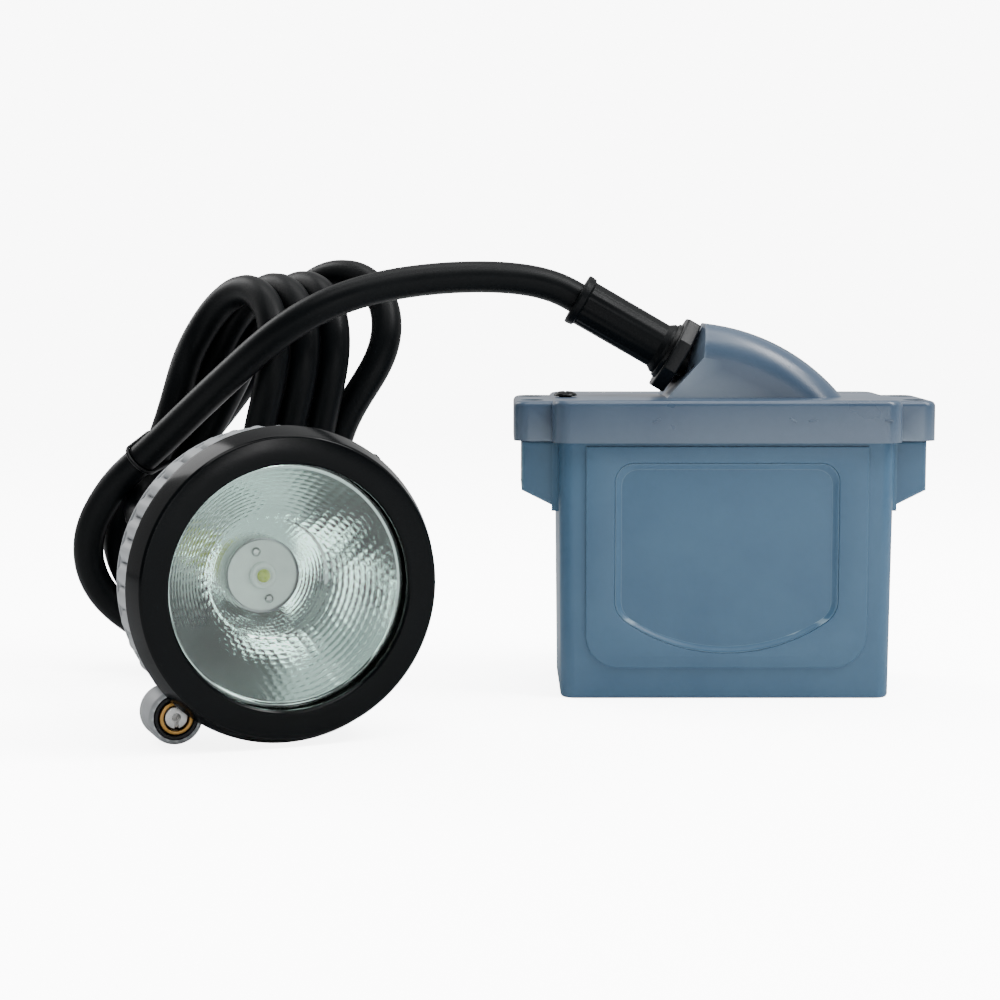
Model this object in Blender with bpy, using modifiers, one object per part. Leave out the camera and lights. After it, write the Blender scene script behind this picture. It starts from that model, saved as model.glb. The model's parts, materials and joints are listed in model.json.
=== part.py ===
"""Miner's cap lamp: belt battery, rubber cord with its hank, and the lamp head.

Units in the tables below are millimetres; the scene is in metres. +Z is up, the battery's front faces -Y and
the origin is the centre of the battery's bottom face. The head has its own frame: X to its right, Y into its
depth from the front of the bezel, Z up.
"""

import math

import bmesh
import bpy
from mathutils import Matrix, Vector

MM = 0.001
GAP = 0.3

# Battery case and lid
CASE_HALF_WIDTH_TOP = 44.6
CASE_HALF_WIDTH_BASE = 43.8
CASE_HALF_DEPTH = 23.2
CASE_TOP = 72.0
CASE_WALL = 2.4
CASE_CORNER = 4.0
PANEL_RELIEF = 0.8
EAR_HALF_WIDTH = 54.2
EAR_HALF_DEPTH = 15.0
EAR_TOP = 68.1
EAR_LOW_OUTER = 55.0
EAR_LOW_INNER = 49.5
LID_BOTTOM = 68.4
LID_TOP = 79.6
LID_HALF_WIDTH = 46.2
LID_HALF_DEPTH = 26.2
LID_LEDGE = 73.7
LID_CEILING = 77.2
TAB_HALF_WIDTH = 56.3
TAB_HALF_DEPTH = 18.0
TAB_TOP = 79.0
GASKET_LOW = CASE_TOP + GAP
GASKET_HIGH = LID_LEDGE - GAP

# Cable hood and the gland on its sloping face
HOOD_HALF_DEPTH = 13.0
HOOD_FOOT_LEFT = -16.0
HOOD_PEAK = (-4.6, 99.4)
HOOD_FOOT_RIGHT = 32.8
HOOD_ARC_RADIUS = 56.0
HOOD_WALL = 2.4
GLAND_UP_SLOPE = 11.5
GLAND_FLANGE_RADIUS = 11.2
GLAND_FLANGE_THICK = 4.0
SLEEVE_RADIUS = 6.1
SLEEVE_LENGTH = 28.6
COLLAR_RADIUS = 6.9
COLLAR_LENGTH = 2.2

# Lid screws, vent plug and belt loop
SCREW_X = 51.4
SCREW_Y = 10.5
SCREW_HEAD_RADIUS = 2.8
SCREW_SHANK_RADIUS = 1.45
PLUG_X = -42.3
PLUG_Y = -6.0
LOOP_HALF_WIDTH = 16.0
LOOP_BACK = 33.0
LOOP_PLATE = 2.5
LOOP_LOW = 8.0
LOOP_HIGH = 60.0
LOOP_SCREW_LOW = 5.2
LOOP_SCREW_HIGH = 63.2

# Cells
CELL_RADIUS = 9.15
CELL_PITCH = 19.6
CELL_BOTTOM = 3.7
CELL_BODY = 64.0
CELL_COLUMNS = 4
CELL_ROWS = 2
STRIP_THICK = 0.5

# Lamp head
HEAD_CENTRE = Vector((-109.3, -85.0, 38.35))
HEAD_YAW = math.radians(21.7)
BEZEL_RADIUS = 38.3
BEZEL_FACE_RADIUS = 36.2
OPENING_RADIUS = 29.4
SKIRT_RADIUS = 34.9
SKIRT_BORE = 32.5
SKIRT_END = 14.8
BAND_RADIUS = 37.6
BAND_FRONT = 7.8
BAND_BACK = 21.0
SCALLOPS = 40
HOUSING_DEPTH = 44.0
HOUSING_WALL = 2.4
LIP_THICK = 1.8
GLASS_DEPTH = 3.2
GLASS_THICK = 2.2
RIM_DEPTH = 5.8
BOWL_RADIUS = 28.2
CONE_DEPTH = 21.4
CONE_RADIUS = 14.6
BOARD_DEPTH = 26.6
DRIVER_DEPTH = 33.4
LUG_X = -25.5
LUG_Z = -31.2
LUG_RADIUS = 6.6
LUG_FRONT = 11.2
LUG_BACK = 22.0
SWITCH_DEPTH = 30.0
SWITCH_ANGLE = math.radians(42.0)
SWITCH_BOSS_END = 35.8
HOOK_SCREW_X = 5.0
HOOK_SCREWS = {"upper": -5.0, "lower": -13.0}
HEAD_GLAND_X = -9.0
HEAD_GLAND_Z = 10.0
HEAD_GLAND_BOSS_END = 45.5
HEAD_NUT_THICK = 3.5
HEAD_SLEEVE_END = 69.6

# Cord
CORD_RADIUS = 4.25
HANK_CORNER = Vector((-125.1, -1.0, 0.0))
HANK_TURN = math.radians(25.0)
HANK_FRONT = -4.3
HANK_BACK = 36.0

ROUND_STEPS = 40
SMALL_STEPS = 20

CORD_LEAD_ROUTE = [
    (-39.3, 0.0, 106.3),
    (-44.4, -0.2, 109.0),
    (-54.0, -2.0, 111.2),
    (-66.0, -5.0, 111.9),
    (-78.0, -8.5, 111.3),
    (-90.0, -12.5, 109.6),
    (-100.5, -16.0, 106.7),
    (-110.3, -18.2, 102.4),
    (-120.0, -16.8, 96.0),
    (-130.5, -11.5, 87.2),
    (-142.0, -5.0, 77.2),
    (-153.5, 0.8, 66.5),
    (-163.5, 5.2, 56.6),
    (-171.8, 8.0, 46.0),
    (-176.1, 9.0, 34.0),
    (-175.0, 6.8, 22.5),
    (-170.8, 4.0, 13.6),
    (-164.8, 1.9, 9.8),
    (-160.8, 5.0, 9.05),
    (-158.5, 9.0, 9.0),
]
CORD_TAIL_ROUTE = [
    (-158.5, 9.0, 48.0),
    (-160.2, 4.6, 48.0),
    (-160.2, -0.8, 48.0),
    (-158.1, -5.9, 48.1),
    (-154.7, -10.0, 48.2),
    (-151.1, -13.8, 48.3),
    (-147.6, -16.6, 48.3),
    (-145.2, -19.2, 48.35),
    (-143.6, -23.1, 48.35),
]
TIE_HEIGHT = 64.25
TIE_SLOPE = 0.75
TIE_LOOP = [
    (34.2, 10.0),
    (34.6, -1.0),
    (33.6, -7.2),
    (27.5, -13.2),
    (19.5, -16.4),
    (13.5, -16.2),
    (10.6, -11.2),
    (12.2, -5.4),
    (17.4, 0.2),
    (18.2, 10.0),
    (18.2, 30.0),
    (19.6, 38.0),
    (26.0, 38.6),
    (32.8, 38.2),
    (34.2, 30.0),
]
HANK_OUTER = [
    (-19.0, 64.0),
    (-16.0, 34.0),
    (-8.0, 8.0),
    (12.0, 0.4),
    (34.0, 2.0),
    (46.0, 16.0),
    (49.0, 36.0),
    (42.0, 56.0),
    (34.0, 72.0),
    (31.5, 88.0),
    (29.0, 102.0),
    (14.0, 113.0),
    (-4.0, 116.6),
    (-15.0, 110.0),
    (-21.0, 90.0),
]
HANK_INNER = [
    (5.0, 62.0),
    (8.0, 84.0),
    (13.0, 95.0),
    (18.0, 88.0),
    (22.0, 74.0),
    (30.0, 56.0),
    (34.0, 36.0),
    (30.0, 21.0),
    (17.0, 16.0),
    (7.0, 30.0),
]


def reset_scene():
    for obj in list(bpy.data.objects):
        bpy.data.objects.remove(obj)


def new_collection(name, hidden=False):
    collection = bpy.data.collections.new(name)
    collection.hide_render = hidden
    bpy.context.scene.collection.children.link(collection)
    return collection


reset_scene()
PARTS = new_collection("miners_cap_lamp")
CUTTERS = new_collection("cutters", hidden=True)


def make_material(name, colour, roughness, metallic=0.0):
    material = bpy.data.materials.new(name)
    material.use_nodes = True
    shader = material.node_tree.nodes["Principled BSDF"]
    shader.inputs["Base Color"].default_value = (*colour, 1.0)
    shader.inputs["Roughness"].default_value = roughness
    shader.inputs["Metallic"].default_value = metallic
    material.diffuse_color = (*colour, 1.0)
    return material


CASE_BLUE = make_material("case_blue", (0.10, 0.19, 0.27), 0.45)
LID_BLUE = make_material("lid_blue_grey", (0.13, 0.18, 0.25), 0.38)
RUBBER = make_material("black_rubber", (0.012, 0.014, 0.016), 0.55)
BEZEL_BLACK = make_material("bezel_black", (0.008, 0.010, 0.012), 0.22)
HOUSING_GREY = make_material("housing_grey", (0.42, 0.44, 0.46), 0.42)
BLACK_PLASTIC = make_material("black_plastic", (0.015, 0.016, 0.018), 0.40)
GLASS = make_material("glass", (0.85, 0.92, 0.90), 0.03)
MIRROR = make_material("reflector", (0.90, 0.92, 0.92), 0.10, 1.0)
STEEL = make_material("steel", (0.62, 0.62, 0.60), 0.30, 1.0)
BRASS = make_material("brass", (0.55, 0.36, 0.14), 0.35, 1.0)
ALUMINIUM = make_material("aluminium", (0.70, 0.71, 0.72), 0.38, 1.0)
NICKEL = make_material("nickel", (0.60, 0.58, 0.54), 0.30, 1.0)
WHITE_BOARD = make_material("white_board", (0.80, 0.82, 0.80), 0.50)
PHOSPHOR = make_material("phosphor", (0.75, 0.80, 0.12), 0.35)
CIRCUIT = make_material("circuit_green", (0.02, 0.18, 0.08), 0.50)
CELL_WRAP = make_material("cell_wrap", (0.03, 0.20, 0.42), 0.40)
RED_WIRE = make_material("red_wire", (0.50, 0.02, 0.02), 0.50)


def add_object(name, mesh, material, parent=None, location=(0, 0, 0), rotation=(0, 0, 0)):
    """Links a part, or a cutter when it has no material, with its place in millimetres."""
    obj = bpy.data.objects.new(name, mesh)
    obj.location = Vector(location) * MM
    obj.rotation_euler = rotation
    obj.parent = parent
    if material is None:
        CUTTERS.objects.link(obj)
        obj.hide_render = True
        obj.display_type = "WIRE"
    else:
        PARTS.objects.link(obj)
        obj.data.materials.append(material)
    return obj


def mesh_from(bm, name, sharp_angle=35.0):
    mesh = bpy.data.meshes.new(name)
    bm.to_mesh(mesh)
    bm.free()
    mesh.shade_smooth()
    mesh.set_sharp_from_angle(angle=math.radians(sharp_angle))
    return mesh


def add_empty(name, location, rotation=(0, 0, 0), parent=None):
    empty = bpy.data.objects.new(name, None)
    empty.location = Vector(location) * MM
    empty.rotation_euler = rotation
    empty.parent = parent
    PARTS.objects.link(empty)
    return empty


def lathe(name, profile, material, steps=ROUND_STEPS, **place):
    """A turned shape from (radius, height) points that run down its outer side."""
    bm = bmesh.new()
    points = [bm.verts.new((radius * MM, 0.0, height * MM)) for radius, height in profile]
    for start, end in zip(points, points[1:]):
        bm.edges.new((start, end))
    if profile[0][0] > 0:
        bm.edges.new((points[-1], points[0]))
    obj = add_object(name, mesh_from(bm, name), material, **place)
    screw = obj.modifiers.new("turn", "SCREW")
    screw.steps = steps
    screw.render_steps = steps
    screw.use_merge_vertices = True
    screw.merge_threshold = 0.00001
    screw.use_smooth_shade = True
    return obj


def disc(name, radius, low, high, material, steps=SMALL_STEPS, **place):
    return lathe(name, [(0, high), (radius, high), (radius, low), (0, low)], material, steps, **place)


def ring(name, outer, inner, low, high, material, steps=SMALL_STEPS, **place):
    profile = [(outer, high), (outer, low), (inner, low), (inner, high)]
    return lathe(name, profile, material, steps, **place)


def box(name, low, high, material, bevel=0.0, segments=2, upright_only=False, **place):
    """A box between two corners; its edges, or only the upright ones, are rounded."""
    low, high = Vector(low) * MM, Vector(high) * MM
    bm = bmesh.new()
    bmesh.ops.create_cube(bm, size=1.0)
    size = high - low
    bmesh.ops.scale(bm, vec=size, verts=bm.verts)
    bmesh.ops.translate(bm, vec=(low + high) / 2, verts=bm.verts)
    if bevel:
        edges = [edge for edge in bm.edges if not upright_only or is_upright(edge)]
        bmesh.ops.bevel(bm, geom=edges, offset=bevel * MM, segments=segments, profile=0.5, affect="EDGES")
    return add_object(name, mesh_from(bm, name), material, **place)


def is_upright(edge):
    span = edge.verts[0].co - edge.verts[1].co
    return abs(span.z) > 0.9 * span.length


def prism(name, outlines, low, high, material, **place):
    """Flat outlines in X and Y, later ones being holes, raised from low to high along Z."""
    curve = bpy.data.curves.new(name, "CURVE")
    curve.dimensions = "2D"
    curve.fill_mode = "BOTH"
    curve.extrude = (high - low) / 2 * MM
    for outline in outlines:
        spline = curve.splines.new("POLY")
        spline.points.add(len(outline) - 1)
        for point, (x, y) in zip(spline.points, outline):
            point.co = (x * MM, y * MM, 0.0, 1.0)
        spline.use_cyclic_u = True
    guide = bpy.data.objects.new(name + "_outline", curve)
    bpy.context.scene.collection.objects.link(guide)
    evaluated = guide.evaluated_get(bpy.context.evaluated_depsgraph_get())
    flat = bpy.data.meshes.new_from_object(evaluated)
    bm = bmesh.new()
    bm.from_mesh(flat)
    bmesh.ops.remove_doubles(bm, verts=bm.verts, dist=0.00001)
    bmesh.ops.translate(bm, vec=(0.0, 0.0, (low + high) / 2 * MM), verts=bm.verts)
    bmesh.ops.recalc_face_normals(bm, faces=bm.faces)
    bpy.data.objects.remove(guide)
    return add_object(name, mesh_from(bm, name), material, **place)


def side_prism(name, outlines, near, far, material, parent=None):
    """Outlines in X and Z, raised along +Y from near to far."""
    upright = (math.radians(90.0), 0.0, 0.0)
    return prism(name, outlines, -far, -near, material, parent=parent, rotation=upright)


def end_prism(name, outlines, low, high, material, parent=None):
    """Outlines in Y and Z, raised along +X from low to high."""
    sideways = (math.radians(90.0), 0.0, math.radians(90.0))
    return prism(name, outlines, low, high, material, parent=parent, rotation=sideways)


def cut(obj, cutter):
    boolean = obj.modifiers.new("cut_" + cutter.name, "BOOLEAN")
    boolean.operation = "DIFFERENCE"
    boolean.object = cutter
    return obj


def join(obj, other):
    boolean = obj.modifiers.new("join_" + other.name, "BOOLEAN")
    boolean.operation = "UNION"
    boolean.object = other
    return obj


def smooth_route(route, spacing, closed=False):
    """Evenly spaced points on a Catmull-Rom curve through the route."""
    points = [Vector(point) for point in route]
    count = len(points)
    fine = []
    for index in range(count if closed else count - 1):
        if closed:
            before, start, end, after = (points[(index + shift) % count] for shift in (-1, 0, 1, 2))
        else:
            start, end = points[index], points[index + 1]
            before = points[index - 1] if index else start * 2 - end
            after = points[index + 2] if index + 2 < count else end * 2 - start
        for step in range(24):
            t = step / 24
            fine.append(
                0.5
                * (
                    2 * start
                    + (end - before) * t
                    + (2 * before - 5 * start + 4 * end - after) * t**2
                    + (3 * start - before - 3 * end + after) * t**3
                )
            )
    fine.append(points[0] if closed else points[-1])
    lengths = [0.0]
    for start, end in zip(fine, fine[1:]):
        lengths.append(lengths[-1] + (end - start).length)
    steps = max(2, round(lengths[-1] / spacing))
    even = []
    place = 0
    for step in range(steps + 1):
        wanted = lengths[-1] * step / steps
        while place < len(fine) - 2 and lengths[place + 1] < wanted:
            place += 1
        share = (wanted - lengths[place]) / max(lengths[place + 1] - lengths[place], 1e-9)
        even.append(fine[place].lerp(fine[place + 1], min(share, 1.0)))
    return even[:-1] if closed else even


def tube(name, route, radius, material, spacing, resolution=2, closed=False):
    curve = bpy.data.curves.new(name, "CURVE")
    curve.dimensions = "3D"
    curve.bevel_depth = radius * MM
    curve.bevel_resolution = resolution
    curve.use_fill_caps = True
    points = smooth_route(route, spacing, closed)
    spline = curve.splines.new("POLY")
    spline.points.add(len(points) - 1)
    for point, place in zip(spline.points, points):
        point.co = (*(place * MM), 1.0)
    spline.use_cyclic_u = closed
    return add_object(name, curve, material)


def arc(centre_x, centre_y, radius, start, end, steps):
    """Points from start to end degrees about a centre."""
    found = []
    for step in range(steps + 1):
        angle = math.radians(start + (end - start) * step / steps)
        found.append((centre_x + radius * math.cos(angle), centre_y + radius * math.sin(angle)))
    return found


def rounded_rectangle(half_x, half_y, radius, steps=3):
    return (
        arc(half_x - radius, half_y - radius, radius, 0, 90, steps)
        + arc(radius - half_x, half_y - radius, radius, 90, 180, steps)
        + arc(radius - half_x, radius - half_y, radius, 180, 270, steps)
        + arc(half_x - radius, radius - half_y, radius, 270, 360, steps)
    )


def taper_width(obj, base_share, top):
    """Narrows a mesh in X, from full width at the top height to a share of it at z = 0."""
    for vertex in obj.data.vertices:
        height = vertex.co.z / (top * MM)
        vertex.co.x *= base_share + (1.0 - base_share) * height


# ---------------------------------------------------------------- battery case


def shield_outline(half_width, top, side_low, arc_low, corner):
    """A panel with a straight top, rounded top corners and a bottom edge that bows down."""
    drop = side_low - arc_low
    radius = (half_width**2 + drop**2) / (2 * drop)
    reach = math.degrees(math.asin(half_width / radius))
    return (
        arc(half_width - corner, top - corner, corner, 0, 90, 3)
        + arc(corner - half_width, top - corner, corner, 90, 180, 3)
        + arc(0.0, arc_low + radius, radius, 270 - reach, 270 + reach, 10)
    )


def build_case():
    case = prism(
        "battery_case",
        [rounded_rectangle(CASE_HALF_WIDTH_TOP, CASE_HALF_DEPTH, CASE_CORNER)],
        0.0,
        CASE_TOP,
        CASE_BLUE,
    )
    taper_width(case, CASE_HALF_WIDTH_BASE / CASE_HALF_WIDTH_TOP, CASE_TOP)
    raised = side_prism(
        "case_raised_field",
        [
            [(-37.3, 67.0), (37.3, 67.0)][::-1]
            + arc(-29.3, 17.0, 8.0, 180, 270, 3)
            + arc(29.3, 17.0, 8.0, 270, 360, 3)
        ],
        -CASE_HALF_DEPTH - PANEL_RELIEF,
        -CASE_HALF_DEPTH + 1.0,
        None,
    )
    join(case, raised)
    for side in (-1, 1):
        ear = side_prism(
            f"case_ear_{side}",
            [
                [
                    (side * (CASE_HALF_WIDTH_BASE - 1.0), EAR_TOP),
                    (side * EAR_HALF_WIDTH, EAR_TOP),
                    (side * EAR_HALF_WIDTH, EAR_LOW_OUTER),
                    (side * (CASE_HALF_WIDTH_BASE - 1.0), EAR_LOW_INNER),
                ]
            ],
            -EAR_HALF_DEPTH,
            EAR_HALF_DEPTH,
            None,
        )
        join(case, ear)
    room = prism(
        "case_room",
        [
            rounded_rectangle(
                CASE_HALF_WIDTH_BASE - CASE_WALL, CASE_HALF_DEPTH - CASE_WALL, CASE_CORNER - CASE_WALL
            )
        ],
        CASE_WALL,
        CASE_TOP + 5.0,
        None,
    )
    cut(case, room)
    panel = side_prism(
        "case_panel",
        [shield_outline(28.7, 61.5, 21.8, 12.1, 4.5)],
        -CASE_HALF_DEPTH - PANEL_RELIEF - 1.0,
        -CASE_HALF_DEPTH,
        None,
    )
    cut(case, panel)
    for side in (-1, 1):
        for end in (-1, 1):
            hole = disc(
                f"case_screw_hole_{side}_{end}",
                SCREW_SHANK_RADIUS + GAP,
                57.0,
                EAR_TOP + 1.0,
                None,
                12,
                location=(side * SCREW_X, end * SCREW_Y, 0.0),
            )
            cut(case, hole)
    for height in (LOOP_SCREW_LOW, LOOP_SCREW_HIGH):
        cut(case, back_disc(f"case_loop_hole_{height}", 1.7, 20.0, 26.0, height, None))
    return case


def back_disc(name, radius, near, far, height, material):
    """A disc across the back wall, from near to far along +Y."""
    backwards = (math.radians(-90.0), 0.0, 0.0)
    return disc(name, radius, near, far, material, 12, location=(0.0, 0.0, height), rotation=backwards)


def hood_slope():
    """The sloping face's direction, from its foot up to the peak, in X and Z."""
    return (Vector(HOOD_PEAK) - Vector((HOOD_FOOT_LEFT, LID_TOP))).normalized()


def hood_outline(inset, foot_height):
    """The hood's side view: a sloping face on the left and one arc falling to the right."""
    start, end = Vector(HOOD_PEAK), Vector((HOOD_FOOT_RIGHT, LID_TOP))
    chord = end - start
    depth = math.sqrt(HOOD_ARC_RADIUS**2 - (chord.length / 2) ** 2)
    centre = (start + end) / 2 - Vector((-chord.y, chord.x)).normalized() * depth
    slope = hood_slope()
    foot = Vector((HOOD_FOOT_LEFT, LID_TOP)) + Vector((slope.y, -slope.x)) * inset
    radius = HOOD_ARC_RADIUS - inset
    reach = foot - centre
    along = reach.dot(slope)
    peak = foot + slope * (math.sqrt(along**2 - reach.length_squared + radius**2) - along)
    first = math.degrees(math.atan2(peak.y - centre.y, peak.x - centre.x))
    last = math.degrees(math.atan2(end.y - centre.y, end.x - centre.x))
    crown = arc(centre.x, centre.y, radius, first, last, 6)
    low_foot = foot - slope * (foot.y - foot_height) / slope.y
    return [(low_foot.x, foot_height)] + crown + [(crown[-1][0], foot_height)]


def soften_hood(hood, width):
    """Rounds the two long edges between the hood's crown and its sides."""
    bm = bmesh.new()
    bm.from_mesh(hood.data)
    bmesh.ops.dissolve_limit(bm, angle_limit=math.radians(1.0), verts=bm.verts, edges=bm.edges)
    edges = []
    for edge in bm.edges:
        ends = [vertex.co for vertex in edge.verts]
        along = abs(ends[0].z - ends[1].z) < 0.0001
        above = min(end.y for end in ends) > (LID_TOP - 0.5) * MM
        falling = abs(ends[0].y - ends[1].y) < 1.2 * abs(ends[0].x - ends[1].x)
        if along and above and falling and len(edge.link_faces) == 2:
            edges.append(edge)
    bmesh.ops.bevel(bm, geom=edges, offset=width * MM, segments=3, profile=0.5, affect="EDGES")
    bm.to_mesh(hood.data)
    bm.free()


def build_lid():
    outline = rounded_rectangle(LID_HALF_WIDTH, LID_HALF_DEPTH, 5.0)
    lid = prism("battery_lid", [outline], LID_BOTTOM, LID_TOP, LID_BLUE)
    round_top(lid, LID_TOP)
    outline = rounded_rectangle(TAB_HALF_WIDTH, TAB_HALF_DEPTH, 4.0)
    tabs = prism("lid_tabs", [outline], LID_BOTTOM, TAB_TOP, None)
    round_top(tabs, TAB_TOP)
    join(lid, tabs)
    outside = hood_outline(0.0, LID_TOP - 1.0)
    hood = side_prism("lid_hood", [outside], -HOOD_HALF_DEPTH, HOOD_HALF_DEPTH, None)
    soften_hood(hood, 5.0)
    join(lid, hood)
    cut(lid, prism("lid_rim_room", [rounded_rectangle(44.95, 23.6, 4.2)], 60.0, LID_LEDGE, None))
    cut(lid, prism("lid_room", [rounded_rectangle(41.2, 20.6, 3.0)], 60.0, LID_CEILING, None))
    inside = HOOD_HALF_DEPTH - HOOD_WALL
    hollow = side_prism("hood_room", [hood_outline(HOOD_WALL, LID_BOTTOM + 6.0)], -inside, inside, None)
    soften_hood(hollow, 3.4)
    cut(lid, hollow)
    cut(lid, disc("gland_bore", 4.9, -9.0, 6.0, None, **gland_place()))
    for side in (-1, 1):
        for end in (-1, 1):
            place = (side * SCREW_X, end * SCREW_Y, 0.0)
            head = SCREW_HEAD_RADIUS + GAP
            shank = SCREW_SHANK_RADIUS + GAP
            profile = [(0, 82.0), (head, 82.0), (head, 75.6), (shank, 75.6), (shank, 60.0), (0, 60.0)]
            cut(lid, lathe(f"lid_screw_hole_{side}_{end}", profile, None, 12, location=place))
    cut(lid, disc("plug_hole", 2.1, 76.0, 82.0, None, 12, location=(PLUG_X, PLUG_Y, 0.0)))
    return lid


def round_top(obj, top):
    """Rounds the rim of a flat top by 1.6 mm."""
    bm = bmesh.new()
    bm.from_mesh(obj.data)
    bmesh.ops.dissolve_limit(bm, angle_limit=math.radians(1.0), verts=bm.verts, edges=bm.edges)
    edges = [edge for edge in bm.edges if all(abs(v.co.z - top * MM) < 0.0001 for v in edge.verts)]
    bmesh.ops.bevel(bm, geom=edges, offset=1.6 * MM, segments=2, profile=0.5, affect="EDGES")
    bm.to_mesh(obj.data)
    bm.free()


def gland_place():
    """The middle of the sloping face, with +Z turned out of it, up and to the left."""
    slope = hood_slope()
    centre = Vector((HOOD_FOOT_LEFT, LID_TOP)) + slope * GLAND_UP_SLOPE
    tilt = math.atan2(slope.x, slope.y) - math.radians(90.0)
    return {"location": (centre.x, 0.0, centre.y), "rotation": (0.0, tilt, 0.0)}


def build_gland():
    place = gland_place()
    flange_top = GAP + GLAND_FLANGE_THICK
    nut = [
        (GLAND_FLANGE_RADIUS * math.cos(turn), GLAND_FLANGE_RADIUS * math.sin(turn))
        for turn in (math.radians(22.5 + 45.0 * corner) for corner in range(8))
    ]
    flange = prism("gland_nut", [nut], GAP, flange_top, BLACK_PLASTIC, **place)
    cut(flange, disc("gland_nut_bore", 4.9, -2.0, flange_top + 2.0, None, **place))
    sleeve_low = flange_top + GAP
    sleeve_high = sleeve_low + SLEEVE_LENGTH
    profile = [
        (0, sleeve_high),
        (COLLAR_RADIUS, sleeve_high),
        (COLLAR_RADIUS, sleeve_high - COLLAR_LENGTH),
        (SLEEVE_RADIUS - 0.5, sleeve_high - COLLAR_LENGTH - 0.4),
        (SLEEVE_RADIUS, sleeve_low + 3.0),
        (SLEEVE_RADIUS + 1.2, sleeve_low + 1.6),
        (SLEEVE_RADIUS + 1.2, sleeve_low),
        (4.5, sleeve_low),
        (4.5, -6.0),
        (0, -6.0),
    ]
    lathe("strain_relief", profile, RUBBER, 24, **place)
    ring("gland_washer", 8.0, 5.0, -HOOD_WALL - 2.2, -HOOD_WALL - GAP, BLACK_PLASTIC, **place)


def build_seals_and_screws():
    prism(
        "lid_gasket",
        [rounded_rectangle(44.0, 22.8, 3.6), rounded_rectangle(42.0, 21.0, 2.4)],
        GASKET_LOW,
        GASKET_HIGH,
        RUBBER,
    )
    names = {(-1, -1): "front_left", (1, -1): "front_right", (-1, 1): "back_left", (1, 1): "back_right"}
    for (side, end), words in names.items():
        profile = [
            (0, 77.7),
            (1.2, 77.7),
            (1.2, 78.7),
            (SCREW_HEAD_RADIUS, 78.7),
            (SCREW_HEAD_RADIUS, 76.0),
            (SCREW_SHANK_RADIUS, 76.0),
            (SCREW_SHANK_RADIUS, 58.0),
            (0, 58.0),
        ]
        lathe(f"lid_screw_{words}", profile, STEEL, 12, location=(side * SCREW_X, end * SCREW_Y, 0.0))
    dome = [
        (0, LID_TOP + 1.7),
        (1.7, LID_TOP + 1.5),
        (2.9, LID_TOP + 0.9),
        (3.3, LID_TOP + GAP),
        (1.7, LID_TOP + GAP),
        (1.7, 76.4),
        (0, 76.4),
    ]
    lathe("vent_plug", dome, BLACK_PLASTIC, 16, location=(PLUG_X, PLUG_Y, 0.0))


def build_belt_loop():
    foot = CASE_HALF_DEPTH + GAP
    plate = LOOP_BACK - LOOP_PLATE
    low, high = LOOP_LOW, LOOP_HIGH
    outline = [
        (foot, low - 6.0),
        (foot + 2.2, low - 6.0),
        (foot + 2.2, low),
        (LOOP_BACK, low),
        (LOOP_BACK, high),
        (foot + 2.2, high),
        (foot + 2.2, high + 6.5),
        (foot, high + 6.5),
        (foot, high - LOOP_PLATE),
        (plate, high - LOOP_PLATE),
        (plate, low + LOOP_PLATE),
        (foot, low + LOOP_PLATE),
    ]
    loop = end_prism("belt_loop", [outline], -LOOP_HALF_WIDTH, LOOP_HALF_WIDTH, CASE_BLUE)
    for words, height in (("lower", LOOP_SCREW_LOW), ("upper", LOOP_SCREW_HIGH)):
        cut(loop, back_disc(f"loop_hole_{words}", 1.7, 20.0, 30.0, height, None))
        face = foot + 2.2 + GAP
        profile = [(0, face + 1.5), (1.6, face + 1.4), (2.4, face), (1.4, face), (1.4, 21.4), (0, 21.4)]
        backwards = (math.radians(-90.0), 0.0, 0.0)
        lathe(f"loop_screw_{words}", profile, STEEL, 12, location=(0.0, 0.0, height), rotation=backwards)


def build_cells():
    holes = []
    for row in range(CELL_ROWS):
        for column in range(CELL_COLUMNS):
            x = (column - (CELL_COLUMNS - 1) / 2) * CELL_PITCH
            y = (row - (CELL_ROWS - 1) / 2) * CELL_PITCH
            top = CELL_BOTTOM + CELL_BODY
            profile = [
                (0, top + 1.0),
                (2.8, top + 1.0),
                (2.8, top),
                (CELL_RADIUS, top),
                (CELL_RADIUS, CELL_BOTTOM),
                (0, CELL_BOTTOM),
            ]
            lathe(f"cell_{row + 1}{column + 1}", profile, CELL_WRAP, 12, location=(x, y, 0.0))
            holes.append([(x + dx, y + dy) for dx, dy in arc(0.0, 0.0, CELL_RADIUS + 0.35, 0, 330.0, 11)])
    plate = rounded_rectangle(40.3, 20.3, 2.0, 1)
    for name, low in (("cell_holder_bottom", 6.0), ("cell_holder_top", 59.0)):
        prism(name, [plate] + holes, low, low + 5.0, BLACK_PLASTIC)
    strip = rounded_rectangle(34.0, 14.0, 2.0, 1)
    strip_top = CELL_BOTTOM + CELL_BODY + 1.0 + GAP
    prism("cell_strip_top", [strip], strip_top, strip_top + STRIP_THICK, NICKEL)
    prism("cell_strip_bottom", [strip], CELL_BOTTOM - GAP - STRIP_THICK, CELL_BOTTOM - GAP, NICKEL)
    board = box("protection_board", (-26.0, -14.0, 70.2), (26.0, 14.0, 71.4), CIRCUIT)
    for index, x in enumerate((-16.0, -4.0, 10.0)):
        join(board, box(f"board_chip_{index}", (x, -6.0, 71.0), (x + 6.0, 2.0, 72.9), None))
    for name, side, material in (("lead_positive", -1, RED_WIRE), ("lead_negative", 1, BLACK_PLASTIC)):
        route = [
            (18.0, side * 5.0, 72.9),
            (17.0, side * 5.0, 77.0),
            (12.0, side * 4.0, 82.5),
            (4.0, side * 2.6, 85.5),
            (-1.9, side * 1.6, 85.3),
        ]
        tube(name, route, 0.9, material, 3.0)


# ---------------------------------------------------------------- lamp head


FACING = (math.radians(90.0), 0.0, 0.0)


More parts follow.
